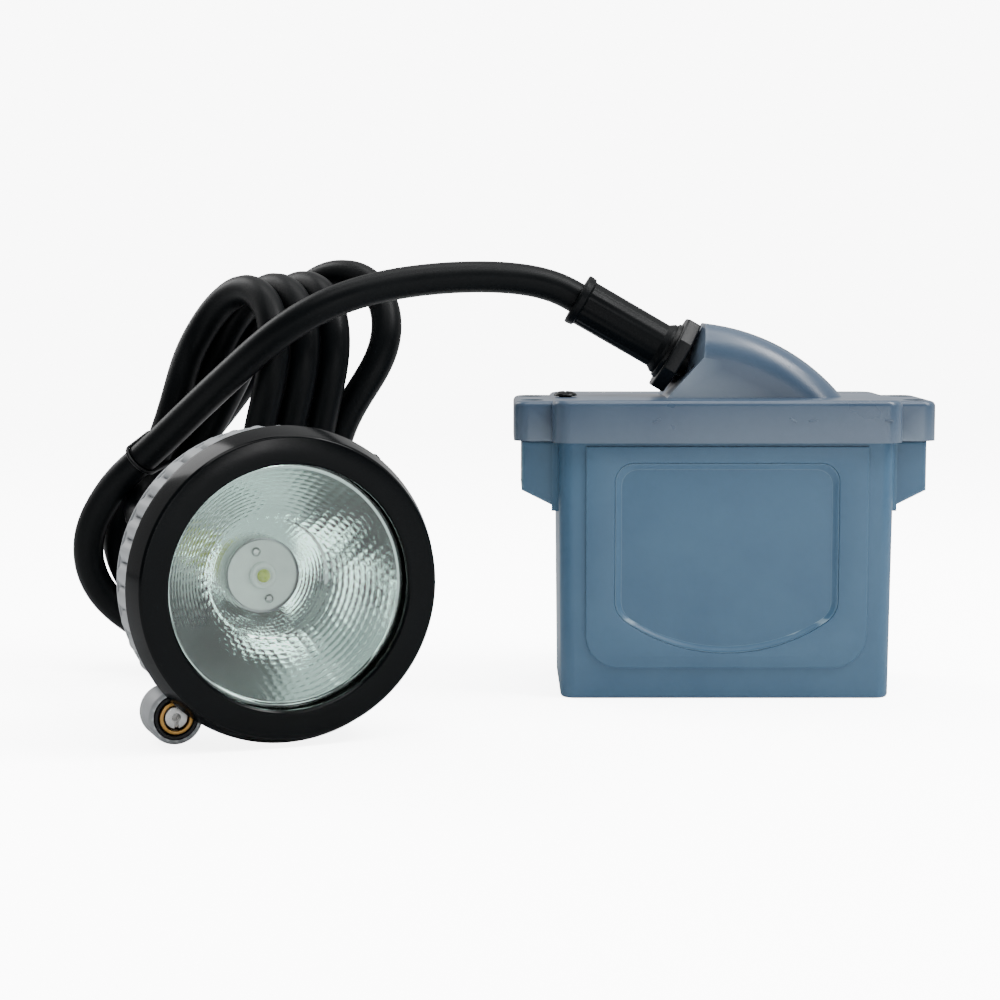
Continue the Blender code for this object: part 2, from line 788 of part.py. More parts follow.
def facing(profile):
    """Turns (radius, depth) points into the (radius, height) points that lathe takes."""
    return [(radius, -depth) for radius, depth in profile]


def head_lathe(name, profile, material, parent, steps=ROUND_STEPS, location=(0, 0, 0)):
    return lathe(name, facing(profile), material, steps, parent=parent, location=location, rotation=FACING)


def scalloped_ring():
    """The grip band's outer edge: rounded ribs with narrow notches between them."""
    points = []
    for rib in range(SCALLOPS):
        for share, depth in ((0.0, 0.9), (0.28, 0.0), (0.72, 0.0)):
            angle = 2 * math.pi * (rib + share) / SCALLOPS
            radius = BAND_RADIUS - depth
            points.append((radius * math.cos(angle), radius * math.sin(angle)))
    return points


def build_housing(head):
    outer = [
        (35.3, BAND_FRONT),
        (36.7, BAND_FRONT),
        (36.7, BAND_BACK),
        (36.0, 23.0),
        (33.6, 30.5),
        (29.0, 37.6),
        (24.5, 41.6),
        (20.0, HOUSING_DEPTH),
        (0, HOUSING_DEPTH),
    ]
    inner = [
        (0, HOUSING_DEPTH - HOUSING_WALL),
        (18.5, HOUSING_DEPTH - HOUSING_WALL),
        (26.5, 36.0),
        (31.6, 27.5),
        (31.6, 17.3),
        (35.3, 17.3),
    ]
    housing = head_lathe("rear_housing", inner + outer, HOUSING_GREY, head)
    band = side_prism(
        "grip_band",
        [scalloped_ring(), [(36.2 * math.cos(a), 36.2 * math.sin(a)) for a in circle_angles(40)]],
        BAND_FRONT + 1.0,
        BAND_BACK - 1.5,
        None,
        parent=head,
    )
    join(housing, band)
    lug_place = (LUG_X, 0, LUG_Z)
    lug_profile = [(0, LUG_FRONT), (LUG_RADIUS, LUG_FRONT), (LUG_RADIUS, LUG_BACK), (0, LUG_BACK + 4.0)]
    lug = head_lathe("lug_body", lug_profile, None, head, 24, lug_place)
    cut(lug, head_lathe("lug_trim", [(0, 0), (36.1, 0), (36.1, 40), (0, 40)], None, head))
    join(housing, lug)
    lug_bore = [(0, 5), (5.5, 5), (5.5, 19.0), (0, 19.0)]
    cut(housing, head_lathe("lug_bore", lug_bore, None, head, 20, lug_place))
    boss = disc("switch_boss", 7.6, 31.8, SWITCH_BOSS_END, None, 24, **switch_place(head))
    join(housing, boss)
    shaft_room = [(0, 40), (3.3, 40), (3.3, 34.4), (2.0, 34.4), (2.0, 24), (0, 24)]
    cut(housing, lathe("switch_bore", shaft_room, None, 20, **switch_place(head)))
    low, high = HOUSING_DEPTH - 1.0, HEAD_GLAND_BOSS_END
    gland = head_lathe(
        "head_gland_boss",
        [(0, low), (7.2, low), (7.2, high), (0, high)],
        None,
        head,
        20,
        (HEAD_GLAND_X, 0, HEAD_GLAND_Z),
    )
    join(housing, gland)
    bore = [(0, 36), (4.3, 36), (4.3, 50), (0, 50)]
    cut(housing, head_lathe("head_gland_bore", bore, None, head, 16, (HEAD_GLAND_X, 0, HEAD_GLAND_Z)))
    for words, height in HOOK_SCREWS.items():
        hole = [(0, 40), (1.5, 40), (1.5, 47), (0, 47)]
        cut(housing, head_lathe(f"hook_hole_{words}", hole, None, head, 12, (HOOK_SCREW_X, 0, height)))
    lock = {"parent": head, "location": (0, 12.0, 0), "rotation": lock_turn()}
    cut(housing, disc("lock_hole", 1.5, 33.0, 42.0, None, 12, **lock))
    return housing


def circle_angles(count):
    return [2 * math.pi * step / count for step in range(count)]


def lock_turn():
    """Turns +Z onto the head's right-hand side."""
    return (0.0, math.radians(90.0), 0.0)


def switch_place(head):
    """Turns +Z outwards along the switch's axis."""
    return {
        "parent": head,
        "location": (0.0, SWITCH_DEPTH, 0.0),
        "rotation": (0.0, math.radians(90.0) - SWITCH_ANGLE, 0.0),
    }


def build_bezel(head):
    profile = [
        (OPENING_RADIUS + 0.4, 0.0),
        (BEZEL_FACE_RADIUS - 0.3, 0.0),
        (BEZEL_FACE_RADIUS, 0.35),
        (38.1, 5.6),
        (BEZEL_RADIUS, 6.2),
        (BEZEL_RADIUS, 6.8),
        (37.7, 7.4),
        (SKIRT_RADIUS, 7.4),
        (SKIRT_RADIUS, SKIRT_END),
        (SKIRT_BORE, SKIRT_END),
        (SKIRT_BORE, LIP_THICK),
        (OPENING_RADIUS, LIP_THICK),
        (OPENING_RADIUS, 0.4),
    ]
    head_lathe("bezel_ring", profile, BEZEL_BLACK, head, 56)
    seal = [(33.7 + 0.9 * math.cos(a), 16.0 - 0.9 * math.sin(a)) for a in circle_angles(5)]
    head_lathe("bezel_o_ring", seal[::-1], RUBBER, head)
    lock = {"parent": head, "location": (0, 12.0, 0), "rotation": lock_turn()}
    disc("bezel_lock_screw", 1.2, 35.3, 37.2, STEEL, 12, **lock)


def reflector_depth(radius):
    """Depth of the bowl's bright side: a shallow dish that falls more slowly towards the middle."""
    share = (radius - CONE_RADIUS) / (BOWL_RADIUS - CONE_RADIUS)
    return CONE_DEPTH - (CONE_DEPTH - RIM_DEPTH) * share**1.15


def build_optics(head):
    gasket = [(32.2, 2.1), (32.2, 2.9), (29.8, 2.9), (29.8, 2.1)]
    head_lathe("glass_gasket", gasket, RUBBER, head)
    glass_back = GLASS_DEPTH + GLASS_THICK
    pane = [(0, GLASS_DEPTH), (32.2, GLASS_DEPTH), (32.2, glass_back), (0, glass_back)]
    head_lathe("front_glass", pane, GLASS, head)
    wall = 0.8
    bowl = [BOWL_RADIUS, 23.6, 19.0, CONE_RADIUS]
    bright = [(radius, reflector_depth(radius)) for radius in bowl] + [(9.3, BOARD_DEPTH - 0.6)]
    dull = [(radius + 0.4, depth + wall) for radius, depth in reversed(bright[:-1])]
    flange = [(29.2, RIM_DEPTH), (32.2, RIM_DEPTH), (32.2, RIM_DEPTH + 1.0), (29.2, RIM_DEPTH + 1.0)]
    profile = flange + dull[::-1] + [(10.3, BOARD_DEPTH - 0.6)] + bright[::-1]
    head_lathe("reflector", profile, MIRROR, head)
    board = [(0, BOARD_DEPTH), (8.8, BOARD_DEPTH), (8.8, BOARD_DEPTH + 1.2), (0, BOARD_DEPTH + 1.2)]
    led_board = head_lathe("led_board", board, WHITE_BOARD, head, 32)
    sink_front = BOARD_DEPTH + 1.5
    sink = head_lathe(
        "heat_sink",
        [
            (0, sink_front),
            (11.0, sink_front),
            (11.0, sink_front + 0.8),
            (18.5, sink_front + 0.8),
            (18.5, sink_front + 3.2),
            (0, sink_front + 3.2),
        ],
        ALUMINIUM,
        head,
        32,
    )
    for words, x, z in (("upper", -1.6, 5.9), ("lower", 1.6, -5.9)):
        low, high = BOARD_DEPTH - 3.0, BOARD_DEPTH + 3.5
        hole = [(0, low), (0.9, low), (0.9, high), (0, high)]
        cutter = head_lathe(f"board_hole_{words}", hole, None, head, 8, (x, 0, z))
        cut(led_board, cutter)
        cut(sink, cutter)
        screw = [(0, -0.9), (0.8, -0.8), (1.15, -0.3), (0.6, -0.3), (0.6, 3.0), (0, 3.0)]
        screw = [(radius, BOARD_DEPTH + depth) for radius, depth in screw]
        head_lathe(f"board_screw_{words}", screw, STEEL, head, 8, (x, 0, z))
    emitter = [
        (0, BOARD_DEPTH - 2.6),
        (0.9, BOARD_DEPTH - 2.4),
        (1.6, BOARD_DEPTH - 1.6),
        (2.9, BOARD_DEPTH - 1.5),
        (3.35, BOARD_DEPTH - 1.1),
        (3.35, BOARD_DEPTH - GAP),
        (0, BOARD_DEPTH - GAP),
    ]
    head_lathe("led_emitter", emitter, PHOSPHOR, head, 16)
    driver_back = DRIVER_DEPTH + 1.4
    plate = [(0, DRIVER_DEPTH), (18.0, DRIVER_DEPTH), (18.0, driver_back), (0, driver_back)]
    driver = head_lathe("driver_board", plate, CIRCUIT, head, 24)
    for index, (x, z) in enumerate(((-8.0, 2.0), (3.0, -6.0))):
        low, high = (x, driver_back - 0.4, z), (x + 5.0, driver_back + 2.1, z + 5.0)
        chip = box(f"driver_chip_{index}", low, high, None, parent=head)
        join(driver, chip)


def build_switch(head):
    place = switch_place(head)
    module = box(
        "switch_module", (-4.5, -3.6, 19.6), (4.5, 3.6, 26.2), BLACK_PLASTIC, parent=place["parent"]
    )
    module.location = Vector(place["location"]) * MM
    module.rotation_euler = place["rotation"]
    lathe("switch_shaft", [(0, 38.2), (1.6, 38.2), (1.6, 26.5), (0, 26.5)], STEEL, 16, **place)
    seal = [(2.55 + 0.5 * math.cos(a), 35.2 + 0.5 * math.sin(a)) for a in circle_angles(6)]
    lathe("switch_seal", seal[::-1], RUBBER, 16, **place)
    low, high = SWITCH_BOSS_END + 0.4, 41.6
    profile = [
        (0, high),
        (5.4, high),
        (6.2, high - 0.9),
        (6.4, low),
        (1.9, low),
        (1.9, 38.5),
        (0, 38.5),
    ]
    knob = lathe("switch_knob", profile, BLACK_PLASTIC, 24, **place)
    for side in (-1, 1):
        start, end = (side * 4.4 - 2.6, -9.0, 39.2), (side * 4.4 + 2.6, 9.0, 44.0)
        notch = box(f"knob_notch_{side}", start, end, None)
        notch.parent = head
        notch.location = Vector(place["location"]) * MM
        notch.rotation_euler = place["rotation"]
        cut(knob, notch)


def build_charging_socket(head):
    place = (LUG_X, 0, LUG_Z)
    insert = [(5.2, 11.0), (5.2, 18.6), (3.4, 18.6), (3.4, 14.5), (4.4, 14.5), (4.4, 11.0)]
    head_lathe("charge_insert", insert, BLACK_PLASTIC, head, 20, place)
    bush = [(4.1, 10.8), (4.1, 14.2), (3.1, 14.2), (3.1, 10.8)]
    head_lathe("charge_bush", bush, BRASS, head, 20, place)
    key = head_lathe("charge_key", [(0, 11.1), (2.8, 11.1), (2.8, 18.2), (0, 18.2)], STEEL, head, 20, place)
    slot = box("key_slot", (-0.55, 9.0, -4.0), (0.55, 13.4, 0.4), None, parent=head, location=place)
    pin_room = head_lathe("key_pin_room", [(0, 9), (1.1, 9), (1.1, 15), (0, 15)], None, head, 12, place)
    cut(key, slot)
    cut(key, pin_room)


def build_helmet_hook(head):
    near, far = HOUSING_DEPTH + GAP, HOUSING_DEPTH + GAP + 5.6
    sheet = 1.2
    outline = [
        (near, -17.0),
        (near + sheet, -17.0),
        (near + sheet, -0.6 - sheet),
        (far - sheet, -0.6 - sheet),
        (far - sheet, -16.0),
        (far + 0.8, -18.5),
        (far + 1.8, -17.8),
        (far, -14.5),
        (far, -0.6),
        (near, -0.6),
    ]
    hook = end_prism("helmet_hook", [outline], -3.0, 13.0, STEEL, parent=head)
    for words, height in HOOK_SCREWS.items():
        place = (HOOK_SCREW_X, 0, height)
        way = [(0, 40), (1.5, 40), (1.5, 47), (2.6, 47), (2.6, 52), (0, 52)]
        cut(hook, head_lathe(f"hook_way_{words}", way, None, head, 12, place))
        screw = [(0, 41.0), (1.2, 41.0), (1.2, 45.8), (2.2, 45.8), (2.0, 46.9), (0, 47.1)]
        head_lathe(f"hook_screw_{words}", screw, STEEL, head, 12, place)


def build_head_gland(head):
    place = (HEAD_GLAND_X, 0, HEAD_GLAND_Z)
    low = HEAD_GLAND_BOSS_END + GAP
    hexagon = [(6.6 * math.cos(a), 6.6 * math.sin(a)) for a in circle_angles(6)]
    nut = side_prism("head_gland_nut", [hexagon], low, low + HEAD_NUT_THICK, BLACK_PLASTIC, parent=head)
    nut.location = Vector(place) * MM
    bore = [(0, 40), (4.3, 40), (4.3, 60), (0, 60)]
    cut(nut, head_lathe("head_nut_bore", bore, None, head, 16, place))
    start = low + HEAD_NUT_THICK + GAP
    profile = [
        (0, 40.5),
        (3.9, 40.5),
        (3.9, start),
        (5.9, start),
        (5.9, start + 2.0),
        (5.2, HEAD_SLEEVE_END),
        (0, HEAD_SLEEVE_END),
    ]
    head_lathe("head_strain_relief", profile, RUBBER, head, 20, place)


# ---------------------------------------------------------------- cord


def hank_point(along, through, height):
    """A point in the hank's own frame: along its plane, through its thickness, and up."""
    left = Vector((-math.cos(HANK_TURN), math.sin(HANK_TURN), 0.0))
    back = Vector((math.sin(HANK_TURN), math.cos(HANK_TURN), 0.0))
    return HANK_CORNER + left * along + back * through + Vector((0.0, 0.0, height))


def smooth_outline(points, spacing):
    even = smooth_route([(x, y, 0.0) for x, y in points], spacing, closed=True)
    return [(point.x, point.y) for point in even]


def build_cord():
    tube("cord_lead", CORD_LEAD_ROUTE, CORD_RADIUS, RUBBER, 6.5, 2)
    tube("cord_tail", CORD_TAIL_ROUTE, CORD_RADIUS, RUBBER, 4.5, 2)
    band = [hank_point(along, through, TIE_HEIGHT + TIE_SLOPE * along) for along, through in TIE_LOOP]
    tube("cord_tie", band, 0.7, BLACK_PLASTIC, 4.0, 1, closed=True)
    outlines = [smooth_outline(HANK_OUTER, 9.0), smooth_outline(HANK_INNER, 9.0)]
    upright = Matrix.Rotation(-HANK_TURN, 4, "Z") @ Matrix.Rotation(math.radians(90.0), 4, "X")
    mirrored = [[(-x, y) for x, y in outline] for outline in outlines]
    hank = prism("cord_hank", mirrored, -HANK_BACK, -HANK_FRONT, RUBBER)
    hank.rotation_euler = upright.to_euler()
    hank.location = HANK_CORNER * MM


def main():
    build_case()
    build_lid()
    build_gland()
    build_seals_and_screws()
    build_belt_loop()
    build_cells()
    head = add_empty("head", HEAD_CENTRE, (0.0, 0.0, HEAD_YAW))
    build_housing(head)
    build_bezel(head)
    build_optics(head)
    build_switch(head)
    build_charging_socket(head)
    build_helmet_hook(head)
    build_head_gland(head)
    build_cord()


main()
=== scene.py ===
import json
import math

import bmesh
import bpy
import numpy as np
from mathutils import Matrix, Vector


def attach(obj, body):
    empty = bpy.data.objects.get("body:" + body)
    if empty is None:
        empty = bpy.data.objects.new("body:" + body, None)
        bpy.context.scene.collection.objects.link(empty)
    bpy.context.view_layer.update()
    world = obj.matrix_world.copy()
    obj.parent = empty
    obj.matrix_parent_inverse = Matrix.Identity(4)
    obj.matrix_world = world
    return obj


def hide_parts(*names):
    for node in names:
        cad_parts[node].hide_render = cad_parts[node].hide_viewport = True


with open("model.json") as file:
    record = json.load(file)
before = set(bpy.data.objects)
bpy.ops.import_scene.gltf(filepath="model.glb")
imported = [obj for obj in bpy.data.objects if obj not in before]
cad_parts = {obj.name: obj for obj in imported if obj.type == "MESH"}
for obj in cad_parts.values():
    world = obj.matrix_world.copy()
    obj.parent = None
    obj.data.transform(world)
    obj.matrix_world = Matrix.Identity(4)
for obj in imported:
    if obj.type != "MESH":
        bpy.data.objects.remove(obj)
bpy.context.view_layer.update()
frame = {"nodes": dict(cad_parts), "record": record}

MM = 0.001

# ---- sizes, in millimetres as in the CAD

HEAD_CENTRE = Vector((-109.3, -85.0, 38.35))
HEAD_YAW = math.radians(21.7)
HEAD = Matrix.Translation(HEAD_CENTRE) @ Matrix.Rotation(HEAD_YAW, 4, "Z")

CASE_HALF_WIDTH_TOP = 44.6
CASE_HALF_WIDTH_BASE = 43.8
CASE_HALF_DEPTH = 23.2
CASE_TOP = 72.0
CASE_WALL = 2.4
PANEL_RELIEF = 0.8
SLOPE_WIDTH = 1.7
SLOPE_STEPS = 8
EAR_HALF_WIDTH = 54.2
EAR_HALF_DEPTH = 15.0
EAR_TOP = 68.1
LID_BOTTOM = 68.4
LID_TOP = 79.6
LID_HALF_DEPTH = 26.2
# The small nicks on the lid's front edge: how far along, and their slant.
LID_MARKS = ((-19.0, -25.0), (17.0, 30.0), (22.0, -12.0), (42.0, 8.0))
TAB_TOP = 79.0
LIP_THICK = 1.8
RIM_DEPTH = 5.8
BOWL_RADIUS = 28.2
CONE_DEPTH = 21.4
CONE_RADIUS = 14.6
BOARD_DEPTH = 26.6
BOARD_SCREWS = {"upper": (-1.6, 5.9), "lower": (1.6, -5.9)}
# Pressed facets: the radius they start from, the pitch of their rows, their width and their height.
BOWL_FACETS = (27.9, 1.05, 2.4, 0.055)
CONE_FACETS = (CONE_RADIUS, 0.75, 1.3, 0.02)
HOOD_HALF_DEPTH = 13.0
HOOD_FOOT = Vector((-16.0, 79.6))
HOOD_PEAK = Vector((-4.6, 99.4))
HOOD_END = Vector((32.8, 79.6))
HOOD_ARC_RADIUS = 56.0
HOOD_SLOPE = (HOOD_PEAK - HOOD_FOOT).normalized()
HOOD_SOFTNESS = 9.0
HOOD_SIDE_LINES = 7
GLAND_UP_SLOPE = 11.5
SCREW_X = 51.4
SCREW_Y = 10.5
PLUG_PLACE = (-42.3, -6.0)
LOOP_HALF_WIDTH = 16.0
LOOP_BACK = 33.0
LOOP_LOW = 8.0
LOOP_HIGH = 60.0
LOOP_SCREWS = {"lower": 5.2, "upper": 63.2}
LUG_PLACE = (-25.5, -31.2)
SWITCH_DEPTH = 30.0
SWITCH_ANGLE = 42.0
HOOK_SCREW_X = 5.0
HOOK_SCREWS = {"upper": -5.0, "lower": -13.0}
HEAD_GLAND = (-9.0, 10.0)

CORD_DIAMETER = 8.5
CORD_SPACING = 4.0
CORD_FLOOR = 4.35
CORD_GAP = 0.22
LEAST_BEND = 21.0
SETTLING_ROUNDS = 1800
FIRM_HOLD = 0.85
TIE_RADIUS = 0.5
TIED_BETWEEN = (12, 13)
TIED_REACH = 18.0
TIE_POINTS = 120

# ---- settings of the camera, floor and light, in metres and watts

LENS = 77.9
SENSOR_WIDTH = 36.0
CAMERA_PLACE = (-0.060, -0.592, 0.110)
CAMERA_LOOKS_DOWN = 5.7

FLOOR_RADIUS = 9.0
FLOOR_PAPER = (0.88, 0.89, 0.89, 1.0)
FLOOR_IN_GLOSS = (0.65, 0.66, 0.67, 1.0)
FLOOR_GAIN = 3.0
FLOOR_GLOW = 5.5
FLOOR_FADE = (0.25, 1.2)
SEEN = 9.0

FRONT_LEFT = 0.2
FRONT_RIGHT = 0.015
FRONT_SPAN = (-0.15, 0.12)
BACK = 0.8
BACK_SPAN = (-0.35, 0.25)

# Each softbox's place, what it is aimed at, its size and its power.
SOFTBOXES = {
    "key_softbox": ((0.0, -0.6, 1.5), (-0.02, 0.0, 0.04), (1.2, 0.45), 9.5),
    "back_left_softbox": ((-1.0, 0.8, 0.9), (-0.1, 0.0, 0.06), (0.5, 1.0), 9.0),
    "right_softbox": ((1.0, -0.55, 1.0), (0.03, 0.0, 0.06), (0.35, 0.8), 9.0),
    "hood_softbox": ((0.62, -0.12, 1.05), (0.01, 0.0, 0.09), (0.35, 0.4), 8.0),
    "top_softbox": ((0.1, 0.3, 1.6), (0.0, 0.0, 0.05), (1.2, 0.7), 10.0),
}
STRIP_BEARINGS = (12.0, 24.0, 36.0)
STRIP_AIM = (-0.109, -0.085, 0.04)
STRIP_DISTANCE = 1.1
STRIP_HEIGHT = 0.14
STRIP_SIZE = (0.05, 0.3)
STRIP_POWER = 0.6

# ---- shader nodes


def set_inputs(node, values):
    for socket, value in values.items():
        node.inputs[socket].default_value = value


def add_range(nodes, links, source, before, after=(0.0, 1.0)):
    """Maps a value from one span onto another."""
    ranged = nodes.new("ShaderNodeMapRange")
    set_inputs(ranged, dict(zip(("From Min", "From Max", "To Min", "To Max"), (*before, *after))))
    links.new(source, ranged.inputs["Value"])
    return ranged.outputs["Result"]


def mix_values(nodes, links, factor, first, second):
    """A mix of a socket's value and a number."""
    mix = nodes.new("ShaderNodeMix")
    links.new(factor, mix.inputs["Factor"])
    links.new(first, mix.inputs["A"])
    mix.inputs["B"].default_value = second
    return mix.outputs["Result"]


def add_shader(nodes, kind, socket, value):
    shader = nodes.new(kind)
    shader.inputs[socket].default_value = value
    return shader.outputs[0]


def mix_shaders(nodes, links, factor, first, second):
    mix = nodes.new("ShaderNodeMixShader")
    for source, socket in zip((factor, first, second), mix.inputs):
        links.new(source, socket)
    return mix.outputs["Shader"]


# ---- camera, floor and light


def new_object(name, data):
    """An object with this data, linked into the scene."""
    made = bpy.data.objects.new(name, data)
    bpy.context.scene.collection.objects.link(made)
    return made


def add_camera():
    data = bpy.data.cameras.new("camera")
    data.lens = LENS
    data.sensor_width = SENSOR_WIDTH
    data.clip_start = 0.01
    camera = new_object("camera", data)
    camera.location = CAMERA_PLACE
    camera.rotation_euler = (math.radians(90.0 - CAMERA_LOOKS_DOWN), 0.0, 0.0)
    bpy.context.scene.camera = camera


def floor_paper():
    """Pale paper: bright to the camera and evenly so in the distance, and dimmer in reflections."""
    material = bpy.data.materials.new("floor_paper")
    material.use_nodes = True
    nodes, links = material.node_tree.nodes, material.node_tree.links
    nodes.clear()
    paper = add_shader(nodes, "ShaderNodeBsdfDiffuse", "Color", FLOOR_PAPER)
    in_gloss = add_shader(nodes, "ShaderNodeBsdfDiffuse", "Color", FLOOR_IN_GLOSS)
    gain = add_shader(nodes, "ShaderNodeBsdfDiffuse", "Color", (FLOOR_GAIN, FLOOR_GAIN, FLOOR_GAIN, 1.0))
    glow = add_shader(nodes, "ShaderNodeEmission", "Strength", FLOOR_GLOW)
    far = add_shader(nodes, "ShaderNodeEmission", "Strength", SEEN)
    near = nodes.new("ShaderNodeAddShader")
    links.new(gain, near.inputs[0])
    links.new(glow, near.inputs[1])
    coordinates = nodes.new("ShaderNodeTexCoord")
    length = nodes.new("ShaderNodeVectorMath")
    length.operation = "LENGTH"
    links.new(coordinates.outputs["Object"], length.inputs[0])
    fade = add_range(nodes, links, length.outputs["Value"], FLOOR_FADE)
    seen = mix_shaders(nodes, links, fade, near.outputs["Shader"], far)
    path = nodes.new("ShaderNodeLightPath")
    lit = mix_shaders(nodes, links, path.outputs["Is Glossy Ray"], paper, in_gloss)
    shown = mix_shaders(nodes, links, path.outputs["Is Camera Ray"], lit, seen)
    links.new(shown, nodes.new("ShaderNodeOutputMaterial").inputs["Surface"])
    return material


def add_floor():
    bm = bmesh.new()
    bmesh.ops.create_circle(bm, cap_ends=True, segments=96, radius=FLOOR_RADIUS)
    mesh = bpy.data.meshes.new("floor")
    bm.to_mesh(mesh)
    bm.free()
    mesh.materials.append(floor_paper())
    new_object("floor", mesh)


def add_world():
    """A bright studio behind and above the lamp, and a dim one in front of it, darkest on the right."""
    world = bpy.data.worlds.new("studio")
    bpy.context.scene.world = world
    world.use_nodes = True
    nodes, links = world.node_tree.nodes, world.node_tree.links
    background = nodes["Background"]
    background.inputs["Color"].default_value = (1.0, 1.0, 1.0, 1.0)
    coordinates = nodes.new("ShaderNodeTexCoord")
    axes = nodes.new("ShaderNodeSeparateXYZ")
    links.new(coordinates.outputs["Generated"], axes.inputs["Vector"])
    front = add_range(nodes, links, axes.outputs["X"], FRONT_SPAN, (FRONT_LEFT, FRONT_RIGHT))
    back = add_range(nodes, links, axes.outputs["Y"], BACK_SPAN)
    around = mix_values(nodes, links, back, front, BACK)
    path = nodes.new("ShaderNodeLightPath")
    strength = mix_values(nodes, links, path.outputs["Is Camera Ray"], around, SEEN)
    links.new(strength, background.inputs["Strength"])


def add_softbox(name, place, aim, size, power):
    data = bpy.data.lights.new(name, "AREA")
    data.shape = "RECTANGLE"
    data.size, data.size_y = size
    data.energy = power
    light = new_object(name, data)
    light.location = place
    light.rotation_euler = (Vector(aim) - Vector(place)).to_track_quat("-Z", "Y").to_euler()


def add_lights():
    for name, setting in SOFTBOXES.items():
        add_softbox(name, *setting)
    for number, degrees in enumerate(STRIP_BEARINGS):
        bearing = math.radians(degrees)
        x = STRIP_AIM[0] + STRIP_DISTANCE * math.sin(bearing)
        y = STRIP_AIM[1] - STRIP_DISTANCE * math.cos(bearing)
        add_softbox(f"front_strip_{number}", (x, y, STRIP_HEIGHT), STRIP_AIM, STRIP_SIZE, STRIP_POWER)


add_camera()
add_floor()
add_world()
add_lights()

# ---- materials

# Each finish's darker and lighter screen colours, its span of roughness, and what else sets it apart,
# such as the colour of its painted edge highlight.
FINISHES = {
    "case_blue": (
        (60, 94, 122), (68, 102, 129), (0.36, 0.46),
        {"patch": 45.0, "grain": 2600.0, "edge_highlight": (150, 176, 192)},
    ),
    "lid_blue_grey": (
        (62, 80, 101), (70, 88, 108), (0.26, 0.36),
        {"patch": 50.0, "grain": 2200.0, "edge_highlight": (160, 174, 188)},
    ),
    "black_rubber": (
        (5, 7, 9), (8, 11, 13), (0.34, 0.46), {"grain": 1600.0, "depth": 0.03, "specular": 0.11}
    ),
    "bezel_black": (
        (3, 5, 6), (5, 8, 10), (0.1, 0.18), {"grain": 900.0, "depth": 0.006, "specular": 0.11}
    ),
    "housing_grey": (
        (138, 141, 144), (152, 156, 159), (0.36, 0.48), {"grain": 2400.0, "edge_highlight": (205, 208, 210)}
    ),
    "black_plastic": (
        (4, 6, 7), (7, 9, 11), (0.28, 0.4), {"grain": 2000.0, "edge_highlight": (30, 34, 38), "specular": 0.22}
    ),
    "reflector": ((216, 226, 223), (228, 236, 233), (0.05, 0.12), {"metallic": 1.0, "depth": 0.002}),
    "steel": (
        (170, 170, 168), (196, 196, 194), (0.22, 0.36), {"metallic": 1.0, "patch": 300.0, "depth": 0.006}
    ),
    "brass": (
        (148, 112, 58), (182, 142, 84), (0.25, 0.4), {"metallic": 1.0, "patch": 300.0, "depth": 0.006}
    ),
    "aluminium": ((186, 188, 190), (206, 208, 210), (0.32, 0.46), {"metallic": 1.0, "depth": 0.006}),
    "nickel": ((180, 176, 168), (200, 196, 188), (0.25, 0.4), {"metallic": 1.0}),
    "white_board": ((206, 212, 208), (220, 225, 220), (0.35, 0.5), {"patch": 200.0}),
    "phosphor": ((150, 164, 22), (186, 196, 58), (0.25, 0.35), {"patch": 900.0, "coat": 0.4}),
    "circuit_green": ((16, 84, 44), (28, 104, 56), (0.35, 0.5), {"patch": 400.0}),
    "cell_wrap": ((28, 96, 158), (38, 110, 172), (0.25, 0.35), {}),
    "red_wire": ((150, 18, 20), (172, 26, 26), (0.4, 0.5), {}),
}
# How sharp an edge must be to take the painted highlight, and the largest share of the highlight colour
# it takes.
HIGHLIGHT_POINTINESS = (0.54, 0.66)
MOST_EDGE_HIGHLIGHT = 0.5


def screen(colour):
    """A linear colour from 0 to 255 screen values."""
    parts = (value / 255 for value in colour)
    return tuple(part / 12.92 if part <= 10 / 255 else ((part + 0.055) / 1.055) ** 2.4 for part in parts)


def make_nodes(name):
    material = bpy.data.materials.new(name)
    material.use_nodes = True
    nodes = material.node_tree.nodes
    return material, nodes, material.node_tree.links, nodes["Principled BSDF"]


def add_noise(nodes, links, scale, detail):
    coordinates = nodes.new("ShaderNodeTexCoord")
    noise = nodes.new("ShaderNodeTexNoise")
    set_inputs(noise, {"Scale": scale, "Detail": detail})
    links.new(coordinates.outputs["Object"], noise.inputs["Vector"])
    return noise.outputs["Fac"]


def spread(nodes, links, source, low, high):
    """Maps the middle of a noise onto low to high."""
    return add_range(nodes, links, source, (0.3, 0.7), (low, high))


def mix_colours(nodes, links, factor, first, second):
    mix = nodes.new("ShaderNodeMix")
    mix.data_type = "RGBA"
    links.new(factor, mix.inputs[0])
    for socket, value in ((mix.inputs[6], first), (mix.inputs[7], second)):
        if isinstance(value, tuple):
            socket.default_value = (*screen(value), 1.0)
        else:
            links.new(value, socket)
    return mix.outputs[2]


